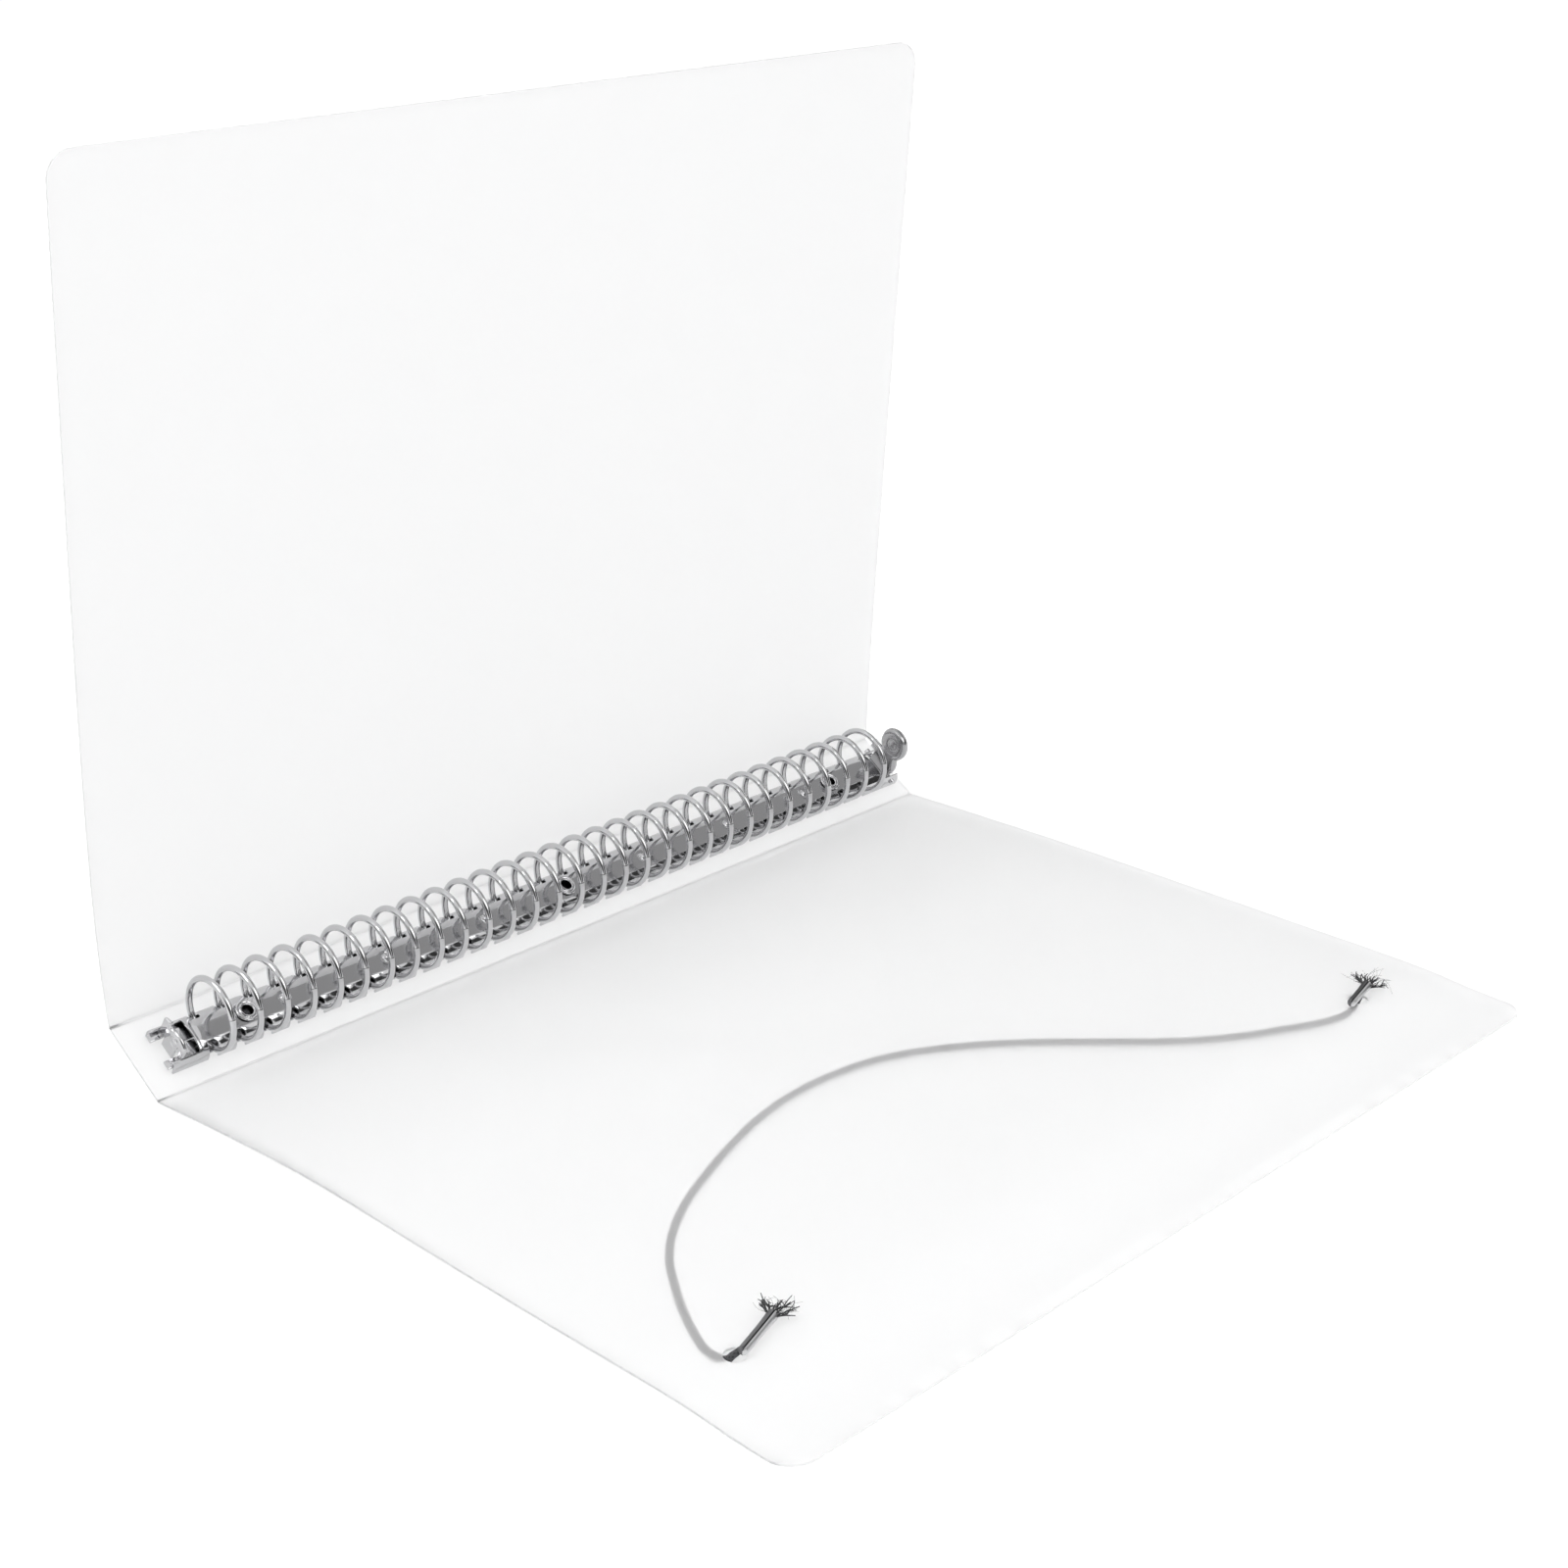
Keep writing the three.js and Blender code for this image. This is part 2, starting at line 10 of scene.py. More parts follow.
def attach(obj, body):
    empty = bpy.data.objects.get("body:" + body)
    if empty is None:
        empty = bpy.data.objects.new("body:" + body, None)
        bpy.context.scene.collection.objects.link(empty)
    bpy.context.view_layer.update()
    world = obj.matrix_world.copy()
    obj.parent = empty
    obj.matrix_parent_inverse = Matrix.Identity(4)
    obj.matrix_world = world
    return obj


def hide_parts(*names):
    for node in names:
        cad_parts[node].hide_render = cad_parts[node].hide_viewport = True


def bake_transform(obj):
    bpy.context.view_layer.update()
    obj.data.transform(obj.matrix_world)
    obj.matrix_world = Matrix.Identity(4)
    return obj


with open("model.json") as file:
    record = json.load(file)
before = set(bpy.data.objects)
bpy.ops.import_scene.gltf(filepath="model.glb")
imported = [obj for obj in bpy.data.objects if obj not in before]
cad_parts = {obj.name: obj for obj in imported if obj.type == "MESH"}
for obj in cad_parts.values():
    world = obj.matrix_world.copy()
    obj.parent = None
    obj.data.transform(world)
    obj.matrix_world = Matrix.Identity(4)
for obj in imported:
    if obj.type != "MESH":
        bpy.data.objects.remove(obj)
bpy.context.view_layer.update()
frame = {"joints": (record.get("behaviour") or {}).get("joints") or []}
joints = {joint["name"]: joint for joint in frame["joints"]}
front_fold = Vector(joints["front_fold"]["pos_m"])
back_fold = Vector(joints["back_fold"]["pos_m"])

# The binder is seen from the open corner of the lying cover, a little above the top of its rings,
# as in the photo. The image is a square of 1600 by 1600 pixels.
CAMERA_PLACE = Vector((0.4910, -0.5247, 0.3725))
CAMERA_AIM = Vector((-0.6473, 0.6641, -0.3742)).normalized()
CAMERA_RIGHT = Vector((0.717, 0.697, -0.003))
CAMERA_LENS = 62.5
CAMERA_SENSOR = 36.0


def add_object(name, data):
    made = bpy.data.objects.new(name, data)
    bpy.context.scene.collection.objects.link(made)
    return made


camera_data = bpy.data.cameras.new("camera")
camera_data.lens = CAMERA_LENS
camera_data.sensor_width = CAMERA_SENSOR
camera_up = CAMERA_RIGHT.cross(CAMERA_AIM).normalized()
camera_right = CAMERA_AIM.cross(camera_up)
camera_turn = Matrix((camera_right, camera_up, -CAMERA_AIM)).transposed().to_4x4()
camera = add_object("camera", camera_data)
camera.matrix_world = Matrix.Translation(CAMERA_PLACE) @ camera_turn
bpy.context.scene.camera = camera

# The closing cord is a round elastic with a braided textile cover. It lies loose under the lying
# cover and comes up through a hole near each end. Both its ends are held in crimped metal tips.
CORD_RADIUS = 0.00115
CORD_SIDES = 16
CORD_STEP = 0.0008
PINCH_DEPTH = 0.42
PINCH_REACH = 0.009
BRAID_STRANDS = 6
BRAID_PITCH = 0.0014
BRAID_DEPTH = 0.00014
BRAID_DARK = (0.020, 0.020, 0.022, 1.0)
BRAID_LIGHT = (0.075, 0.076, 0.080, 1.0)
BRAID_ROUGHNESS = 0.85
BRAID_SHEEN = 0.3
BRAID_BUMP = 0.8
WAVE_RATE = 10
SHARP_ANGLE = 40.0
CORD_ROUTE = [
    (0.2107, -0.1321, 0.0056), (0.2111, -0.1341, 0.0054), (0.2111, -0.1362, 0.0048),
    (0.2107, -0.1380, 0.0040), (0.2099, -0.1388, 0.0031), (0.2091, -0.1393, 0.0020),
    (0.2079, -0.1399, 0.00136), (0.2062, -0.1403, 0.00125), (0.2042, -0.1404, 0.00125),
    (0.2010, -0.1398, 0.00125), (0.1964, -0.1378, 0.00125), (0.1900, -0.1345, 0.00125),
    (0.1834, -0.1306, 0.00125), (0.1754, -0.1251, 0.00125), (0.1665, -0.1184, 0.00125),
    (0.1575, -0.1086, 0.00125), (0.1496, -0.0966, 0.00125), (0.1426, -0.0820, 0.00125),
    (0.1364, -0.0666, 0.00125), (0.1312, -0.0506, 0.00125), (0.1284, -0.0344, 0.00125),
    (0.1284, -0.0180, 0.00125), (0.1316, -0.0010, 0.00125), (0.1384, 0.0136, 0.00125),
    (0.1484, 0.0282, 0.00125), (0.1606, 0.0418, 0.00125), (0.1734, 0.0542, 0.00125),
    (0.1856, 0.0664, 0.00125), (0.1964, 0.0798, 0.00125), (0.2046, 0.0944, 0.00125),
    (0.2098, 0.1050, 0.00125), (0.2123, 0.1116, 0.00125), (0.2132, 0.1170, 0.00125),
    (0.2129, 0.1210, 0.0013), (0.2127, 0.1228, 0.00175), (0.2125, 0.1242, 0.0024),
    (0.2124, 0.1256, 0.0033), (0.2122, 0.1272, 0.0044), (0.2117, 0.1290, 0.0054),
]


def finish_nodes(name):
    material = bpy.data.materials.new(name)
    material.use_nodes = True
    tree = material.node_tree
    return material, tree.nodes, tree.links, tree.nodes["Principled BSDF"]


def emboss(nodes, links, shader, height, strength, depth):
    bump = nodes.new("ShaderNodeBump")
    bump.inputs["Strength"].default_value = strength
    bump.inputs["Distance"].default_value = depth
    links.new(height, bump.inputs["Height"])
    links.new(bump.outputs["Normal"], shader.inputs["Normal"])


def braided_elastic():
    material, nodes, links, shader = finish_nodes("braided_elastic")
    shader.inputs["Roughness"].default_value = BRAID_ROUGHNESS
    shader.inputs["Sheen Weight"].default_value = BRAID_SHEEN
    coordinates = nodes.new("ShaderNodeTexCoord")
    strands = []
    for direction in (1, -1):
        mapping = nodes.new("ShaderNodeMapping")
        around = 2 * math.pi * BRAID_STRANDS / WAVE_RATE
        along = direction * 2 * math.pi / (WAVE_RATE * BRAID_PITCH)
        mapping.inputs["Scale"].default_value = (around, along, 1.0)
        links.new(coordinates.outputs["UV"], mapping.inputs["Vector"])
        wave = nodes.new("ShaderNodeTexWave")
        wave.bands_direction = "DIAGONAL"
        wave.inputs["Scale"].default_value = 1.0
        links.new(mapping.outputs["Vector"], wave.inputs["Vector"])
        strands.append(wave)
    crossing = nodes.new("ShaderNodeMath")
    crossing.operation = "MAXIMUM"
    links.new(strands[0].outputs["Fac"], crossing.inputs[0])
    links.new(strands[1].outputs["Fac"], crossing.inputs[1])
    ramp = nodes.new("ShaderNodeValToRGB")
    ramp.color_ramp.elements[0].color = BRAID_DARK
    ramp.color_ramp.elements[1].color = BRAID_LIGHT
    links.new(crossing.outputs["Value"], ramp.inputs["Fac"])
    links.new(ramp.outputs["Color"], shader.inputs["Base Color"])
    emboss(nodes, links, shader, crossing.outputs["Value"], BRAID_BUMP, BRAID_DEPTH)
    return material


def smooth_route(points, step):
    """Points at about one step from each other on a smooth line through the given points."""
    last = len(points) - 1
    headings = [(points[min(i + 1, last)] - points[max(i - 1, 0)]).normalized() for i in range(last + 1)]
    route = [points[0]]
    for i in range(last):
        reach = (points[i + 1] - points[i]).length
        count = max(2, round(reach / step))
        for part in range(1, count + 1):
            t = part / count
            start, end = points[i], points[i + 1]
            leave = headings[i] * reach
            arrive = headings[i + 1] * reach
            ease = t * t * (3 - 2 * t)
            place = start * (1 - ease) + end * ease
            place = place + leave * (t * (1 - t) ** 2) - arrive * (t * t * (1 - t))
            route.append(place)
    return route


def stations_along(route):
    """A place and turn at each point of a route, carried along without twist."""
    last = len(route) - 1
    heading = (route[1] - route[0]).normalized()
    turn = heading.to_track_quat("Z", "Y")
    stations = []
    for i, point in enumerate(route):
        ahead = (route[min(i + 1, last)] - route[max(i - 1, 0)]).normalized()
        turn = heading.rotation_difference(ahead) @ turn
        heading = ahead
        stations.append(Matrix.Translation(point) @ turn.to_matrix().to_4x4())
    return stations


def sweep(bm, stations, sides, radii, closed=True):
    """Draws a round section through the stations. A radius is one number, or two for an oval."""
    def section(station, radius):
        wide, high = radius if isinstance(radius, tuple) else (radius, radius)
        return station @ Matrix.Diagonal((wide, high, 1.0, 1.0))

    side_layer = bm.verts.layers.int.get("side") or bm.verts.layers.int.new("side")
    ring_layer = bm.verts.layers.int.get("ring") or bm.verts.layers.int.new("ring")
    placed = section(stations[0], radii[0])
    made = bmesh.ops.create_circle(bm, segments=sides, radius=1.0, matrix=placed)
    for number, vert in enumerate(made["verts"]):
        vert[side_layer] = number
        vert[ring_layer] = 0
    rim = list({edge for vert in made["verts"] for edge in vert.link_edges})
    if closed:
        bmesh.ops.edgeloop_fill(bm, edges=rim)
    for number in range(1, len(stations)):
        grown = bmesh.ops.extrude_edge_only(bm, edges=rim)["geom"]
        verts = [item for item in grown if isinstance(item, bmesh.types.BMVert)]
        ends = set(verts)
        rim = [item for item in grown if isinstance(item, bmesh.types.BMEdge) and set(item.verts) <= ends]
        moved = section(stations[number], radii[number])
        bmesh.ops.transform(bm, matrix=moved @ placed.inverted(), verts=verts)
        for vert in verts:
            vert[ring_layer] = number
        placed = moved
    if closed:
        bmesh.ops.edgeloop_fill(bm, edges=rim)
    return rim


def mesh_of(bm, name):
    mesh = bpy.data.meshes.new(name)
    bm.to_mesh(mesh)
    bm.free()
    return mesh


def dress(bm, name, material, body, nodes=(), sharp=SHARP_ANGLE):
    """Makes the finished piece from its mesh, and says what it rides on and stands for."""
    bmesh.ops.recalc_face_normals(bm, faces=bm.faces)
    mesh = mesh_of(bm, name)
    mesh.shade_smooth()
    mesh.set_sharp_from_angle(angle=math.radians(sharp))
    mesh.materials.append(material)
    piece = add_object(name, mesh)
    if body:
        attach(piece, body)
    if nodes:
        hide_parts(*nodes)
    return piece


cord_points = [Vector((x + front_fold.x, y, z)) for x, y, z in CORD_ROUTE]
cord_route = smooth_route(cord_points, CORD_STEP)
cord_radii = []
for i in range(len(cord_route)):
    from_end = min(i, len(cord_route) - 1 - i) * CORD_STEP
    cord_radii.append(CORD_RADIUS * (1 - PINCH_DEPTH * math.exp(-((from_end / PINCH_REACH) ** 2))))
cord_mesh = bmesh.new()
sweep(cord_mesh, stations_along(cord_route), CORD_SIDES, cord_radii)
braid_map = cord_mesh.loops.layers.uv.new("braid")
side_layer = cord_mesh.verts.layers.int["side"]
ring_layer = cord_mesh.verts.layers.int["ring"]
cord_length = sum((b - a).length for a, b in zip(cord_route, cord_route[1:]))
for face in cord_mesh.faces:
    numbers = [loop.vert[side_layer] for loop in face.loops]
    wraps = max(numbers) - min(numbers) > CORD_SIDES / 2
    for loop, number in zip(face.loops, numbers):
        around = (number + CORD_SIDES if wraps and number < CORD_SIDES / 2 else number) / CORD_SIDES
        along = loop.vert[ring_layer] * cord_length / len(cord_route)
        loop[braid_map].uv = (around, along)
elastic = braided_elastic()
cord = dress(cord_mesh, "closing_cord", elastic, "front_cover", ["elastic_cord"])

# Each end of the cord is held in a tip of thin sheet metal, folded over it and pressed flat. Its two
# edges meet in a seam along the top. The cut end of the braid frays out of its open end.
NEAR_TIP = ((0.2133, -0.1391), (0.2073, -0.1223))
FAR_TIP = ((0.2146, 0.1176), (0.2110, 0.1318))
TIP_HEIGHT = 0.0057
TIP_RADIUS = 0.00135
TIP_SIDES = 32
TIP_ROUND = 0.0009
TIP_END_SHARE = 0.05
TIP_STEPS = 30
TIP_WALL = 0.00028
TIP_HOLLOW = 0.0016
TIP_FLARE = 0.16
FLARE_REACH = 0.22
SEAM_ANGLE = math.radians(24)
SEAM_DEPTH = 0.16
SEAM_WIDTH = math.radians(7)
SEAM_PLACE = 0.5 + SEAM_ANGLE / (2 * math.pi)
# The tones below paint shade into the tip's colour: the side of its fold, up to the seam, is painted dark
# as a painted dark reflection, and the other side is a plain bright tone.
SHADED_SIDE_END = SEAM_PLACE - 0.035
SEAM_SPAN = (SEAM_PLACE - 0.012, SEAM_PLACE + 0.004)
PLAIN_SIDE_START = SEAM_PLACE + 0.018
SHADED_SIDE_TONE = (0.17, 0.17, 0.175, 1.0)
SEAM_TONE = (0.025, 0.025, 0.027, 1.0)
PLAIN_SIDE_TONE = (0.70, 0.70, 0.71, 1.0)
TIP_GRAIN = (700.0, 4.0)
TIP_ROUGHNESS = (0.24, 0.38)
TIP_BUMP = (0.10, 0.00003)
WRAP_PULL = 0.02
NEAR_SEED = 11
FAR_SEED = 23
STRAND_COUNT = 15
STRAND_RADIUS = 0.00023
STRAND_SIDES = 6
STRAND_LENGTH = 0.0058
STRAND_FAN = math.radians(62)
STRAND_JITTER = (0.2, 0.8)
STRAND_RISE = (-0.1, 0.6)
STRAND_REACH = (0.6, 1.1)
STRAND_BEND = 0.28
STRAND_BENDS = 4
STRAND_PARTS = 9
STRAND_TAPER = 0.45
BEND_TURN = math.pi * 1.2
ROOT_DEPTH = 0.7
ROOT_SPREAD = TIP_RADIUS * 0.8
ROOT_RISE = (-0.4, 0.5)
FORK_SHARE = 0.5
FORK_LENGTH = 0.5
FORK_SIDES = 5
FORK_TURN = (0.2, 0.7)
FORK_RISE = 0.3
FORK_WIDTH = (0.5, 0.8)
FORK_REACH = (0.6, 1.2)
FIBRE_COUNT = 34
FIBRE_RADIUS = 0.00005
FIBRE_SIDES = 4
FIBRE_LENGTH = 0.0064
FIBRE_FAN = math.radians(85)
FIBRE_RISE = (-0.1, 0.7)
FIBRE_REACH = (0.4, 1.1)
FIBRE_BEND = 0.5


def speckle(nodes, links, coordinates, grain):
    """A fine pattern in the piece's own space, from the scale and the detail of its grain."""
    noise = nodes.new("ShaderNodeTexNoise")
    noise.inputs["Scale"].default_value, noise.inputs["Detail"].default_value = grain
    links.new(coordinates.outputs["Object"], noise.inputs["Vector"])
    return noise.outputs["Fac"]


def vary_roughness(nodes, links, shader, pattern, span):
    rough = nodes.new("ShaderNodeMapRange")
    rough.inputs["To Min"].default_value, rough.inputs["To Max"].default_value = span
    links.new(pattern, rough.inputs["Value"])
    links.new(rough.outputs["Result"], shader.inputs["Roughness"])


def crimped_metal():
    """Pressed tin with painted shade: the side of its fold is painted dark as a painted dark reflection,
    the other side keeps a plain bright tone, with a dark seam between.
    """
    material, nodes, links, shader = finish_nodes("crimped_metal")
    shader.inputs["Metallic"].default_value = 1.0
    coordinates = nodes.new("ShaderNodeTexCoord")
    parts = nodes.new("ShaderNodeSeparateXYZ")
    links.new(coordinates.outputs["UV"], parts.inputs["Vector"])
    tones = nodes.new("ShaderNodeValToRGB")
    stops = tones.color_ramp.elements
    stops[0].position = SHADED_SIDE_END
    stops[0].color = SHADED_SIDE_TONE
    stops[1].position = PLAIN_SIDE_START
    stops[1].color = PLAIN_SIDE_TONE
    for place in SEAM_SPAN:
        stops.new(place).color = SEAM_TONE
    links.new(parts.outputs["X"], tones.inputs["Fac"])
    links.new(tones.outputs["Color"], shader.inputs["Base Color"])
    grain = speckle(nodes, links, coordinates, TIP_GRAIN)
    vary_roughness(nodes, links, shader, grain, TIP_ROUGHNESS)
    emboss(nodes, links, shader, grain, *TIP_BUMP)
    return material


def tip_axis(ends):
    """The start and finish of a tip, the way it points, and the way to its right."""
    start, finish = [Vector((x + front_fold.x, y, TIP_HEIGHT)) for x, y in ends]
    heading = (finish - start).normalized()
    return start, finish, heading, heading.cross(Vector((0, 0, 1)))


def cord_tip(name, ends, node):
    start, finish, heading, right = tip_axis(ends)
    length = (finish - start).length
    bm = bmesh.new()
    shares = [i / TIP_STEPS for i in range(TIP_STEPS + 1)]
    route = [start.lerp(finish, share) for share in shares]
    radii = []
    for share in shares:
        rounding = math.sqrt(max(TIP_END_SHARE, 1 - max(0.0, 1 - share * length / TIP_ROUND) ** 2))
        flare = 1 + TIP_FLARE * math.exp(-((1 - share) / FLARE_REACH) ** 2)
        radii.append(TIP_RADIUS * rounding * flare)
    sweep(bm, stations_along(route), TIP_SIDES, radii)
    for vert in bm.verts:
        share = (vert.co - start).dot(finish - start) / length ** 2
        centre = start.lerp(finish, share)
        out = vert.co - centre
        angle = math.atan2(out.dot(right), out.z)
        vert.co = centre + out * (1 - SEAM_DEPTH * math.exp(-((angle - SEAM_ANGLE) / SEAM_WIDTH) ** 2))
    mouth = max(bm.faces, key=lambda face: face.calc_center_median().dot(heading))
    bmesh.ops.inset_region(bm, faces=[mouth], thickness=TIP_WALL)
    hollow = bmesh.ops.extrude_face_region(bm, geom=[mouth])["geom"]
    bmesh.ops.delete(bm, geom=[mouth], context="FACES_ONLY")
    inner = [item for item in hollow if isinstance(item, bmesh.types.BMVert)]
    bmesh.ops.translate(bm, verts=inner, vec=-heading * TIP_HOLLOW)
    wrap_map = bm.loops.layers.uv.new("wrap")
    for face in bm.faces:
        for loop in face.loops:
            out = loop.vert.co.lerp(face.calc_center_median(), WRAP_PULL) - start
            out = out - heading * out.dot(heading)
            around = 0.5 + math.atan2(out.dot(right), out.z) / (2 * math.pi)
            loop[wrap_map].uv = (around, (loop.vert.co - start).dot(heading))
    return dress(bm, name, rolled_metal, "front_cover", [node])


def strand(bm, root, way, bend, reach, radius, sides, floor):
    """One strand of the cut braid. It leaves its root along its way and bends off. Gives its points."""
    points = []
    for step in range(STRAND_BENDS + 1):
        share = step / STRAND_BENDS
        point = root + way * reach * share + bend * reach * math.sin(share * BEND_TURN) * share
        point.z = max(point.z, floor + radius)
        points.append(point)
    route = smooth_route(points, reach / STRAND_PARTS)
    last = len(route) - 1
    radii = [radius * (1 - STRAND_TAPER * i / last) for i in range(last + 1)]
    sweep(bm, stations_along(route), sides, radii)
    return route


def frayed_end(name, ends, seed):
    """The cut braid: forked strands fanned out of the tip, and loose fibres between them."""
    draw = random.Random(seed)
    _, finish, heading, right = tip_axis(ends)
    floor = TIP_HEIGHT - TIP_RADIUS
    up = Vector((0, 0, 1))
    bm = bmesh.new()

    def way(fan, rise):
        return (heading * math.cos(fan) + right * math.sin(fan) + up * rise).normalized()

    for number in range(STRAND_COUNT):
        fan = STRAND_FAN * (2 * (number + draw.uniform(*STRAND_JITTER)) / STRAND_COUNT - 1)
        rise = draw.uniform(*STRAND_RISE)
        root = finish - heading * TIP_HOLLOW * ROOT_DEPTH + right * ROOT_SPREAD * math.sin(fan)
        root = root + up * TIP_RADIUS * draw.uniform(*ROOT_RISE)
        bend = Vector([draw.uniform(-STRAND_BEND, STRAND_BEND) for _ in range(3)])
        reach = STRAND_LENGTH * draw.uniform(*STRAND_REACH)
        route = strand(bm, root, way(fan, rise), bend, reach, STRAND_RADIUS, STRAND_SIDES, floor)
        fork = route[round(FORK_SHARE * (len(route) - 1))]
        for turn in (-1, 1):
            turned = fan + turn * draw.uniform(*FORK_TURN)
            branch = way(turned, rise + draw.uniform(-FORK_RISE, FORK_RISE))
            thin = STRAND_RADIUS * draw.uniform(*FORK_WIDTH)
            length = reach * FORK_LENGTH * draw.uniform(*FORK_REACH)
            strand(bm, fork, branch, -bend, length, thin, FORK_SIDES, floor)
    for _ in range(FIBRE_COUNT):
        fan = FIBRE_FAN * draw.uniform(-1, 1)
        root = finish + right * ROOT_SPREAD * math.sin(fan)
        bend = Vector([draw.uniform(-FIBRE_BEND, FIBRE_BEND) for _ in range(3)])
        reach = FIBRE_LENGTH * draw.uniform(*FIBRE_REACH)
        direction = way(fan, draw.uniform(*FIBRE_RISE))
        strand(bm, root, direction, bend, reach, FIBRE_RADIUS, FIBRE_SIDES, floor)
    return dress(bm, name, elastic, "front_cover")


rolled_metal = crimped_metal()
near_tip = cord_tip("near_tip", NEAR_TIP, "near_cord_tip")
far_tip = cord_tip("far_tip", FAR_TIP, "far_cord_tip")
near_fray = frayed_end("near_frayed_braid", NEAR_TIP, NEAR_SEED)
far_fray = frayed_end("far_frayed_braid", FAR_TIP, FAR_SEED)

# The lying cover is one leaf of a folded sheet of frosted, translucent plastic. It is cut with two
# rounded outer corners and two punched holes for the cord, and bows a little off the table.
COVER_LENGTH = 0.320
COVER_WIDTH = 0.250
SHEET = 0.0008
SHEET_EDGE = 0.00014
CORNER_RADIUS = 0.008
CORNER_STEPS = 10
FOLD_GAP = 0.0009
SHEET_STEP = 0.005
LIFT_SHARES = (0.0, 0.1, 0.28, 0.48, 0.66, 0.85, 0.925)
LIFT_NEAR = (0.0, 0.0019, 0.0039, 0.0029, 0.0021, 0.0017, 0.0004, 0.0)
LIFT_MIDDLE = (0.0, 0.0015, 0.0033, 0.0032, 0.0031, 0.0031, 0.0008, 0.0)
LIFT_FAR = (0.0, 0.0008, 0.0017, 0.0019, 0.0019, 0.0017, 0.0004, 0.0)
FLAT_STRIP = 0.010
EDGE_FALL = 10
CORD_HOLE_RADIUS = 0.003
CORD_HOLES = ((0.2106, -0.1387), (0.2124, 0.1252))
HOLE_SEGMENTS = 32
PUNCH_LENGTH = 6 * SHEET
CUT_WITHIN = 1e-6
RIM_ANGLE = math.radians(50)
SHEET_SHARP = 60.0
SHEET_COLOUR = (0.985, 0.986, 0.988, 1.0)
SHEET_CLEAR = 0.81
SHEET_IOR = 1.2
SHEET_GRAIN = (1400.0, 3.0)
SHEET_HAZE = (14.0, 5.0)
SHEET_ROUGHNESS = (0.34, 0.42)
SHEET_BUMP = (0.12, 0.00003)
lift_stations = [share * COVER_WIDTH for share in LIFT_SHARES] + [COVER_WIDTH - FLAT_STRIP]


def frosted_sheet():
    material, nodes, links, shader = finish_nodes("frosted_sheet")
    shader.inputs["Base Color"].default_value = SHEET_COLOUR
    shader.inputs["Transmission Weight"].default_value = SHEET_CLEAR
    shader.inputs["IOR"].default_value = SHEET_IOR
    coordinates = nodes.new("ShaderNodeTexCoord")
    vary_roughness(nodes, links, shader, speckle(nodes, links, coordinates, SHEET_HAZE), SHEET_ROUGHNESS)
    emboss(nodes, links, shader, speckle(nodes, links, coordinates, SHEET_GRAIN), *SHEET_BUMP)
    return material


def smooth_value(stations, values, at):
    last = len(stations) - 1
    i = next((k for k in range(1, last + 1) if at <= stations[k]), last)
    span = stations[i] - stations[i - 1]
    t = (at - stations[i - 1]) / span

    def slope(k):
        low, high = max(k - 1, 0), min(k + 1, last)
        return (values[high] - values[low]) / (stations[high] - stations[low])

    blend = t * t * (3 - 2 * t)
    start = slope(i - 1) * span * t * (1 - t) * (1 - t)
    end = slope(i) * span * t * t * (1 - t)
    return values[i - 1] * (1 - blend) + values[i] * blend + start - end


def cover_lift(x, y):
    if x >= COVER_WIDTH - FLAT_STRIP:
        return 0.0
    share = 2 * y / COVER_LENGTH
    edge = abs(share) ** EDGE_FALL
    edge_lift = LIFT_NEAR if share < 0 else LIFT_FAR
    middle = smooth_value(lift_stations, LIFT_MIDDLE, x)
    return middle * (1 - edge) + edge * smooth_value(lift_stations, edge_lift, x)


def settle(piece):
    """Applies the live modifiers of a piece."""
    graph = bpy.context.evaluated_depsgraph_get()
    mesh = bpy.data.meshes.new_from_object(piece.evaluated_get(graph))
    piece.modifiers.clear()
    piece.data = mesh


def add_wall(piece, thickness, offset):
    wall = piece.modifiers.new("wall", "SOLIDIFY")
    wall.thickness = thickness
    wall.offset = offset


def soften_rim(piece, width, sharp):
    """Bevels the sharp edges of a piece and applies its modifiers."""
    rim = piece.modifiers.new("rim", "BEVEL")
    rim.width = width
    rim.segments = 2
    rim.limit_method = "ANGLE"
    rim.angle_limit = RIM_ANGLE
    settle(piece)
    piece.data.shade_smooth()
    piece.data.set_sharp_from_angle(angle=math.radians(sharp))


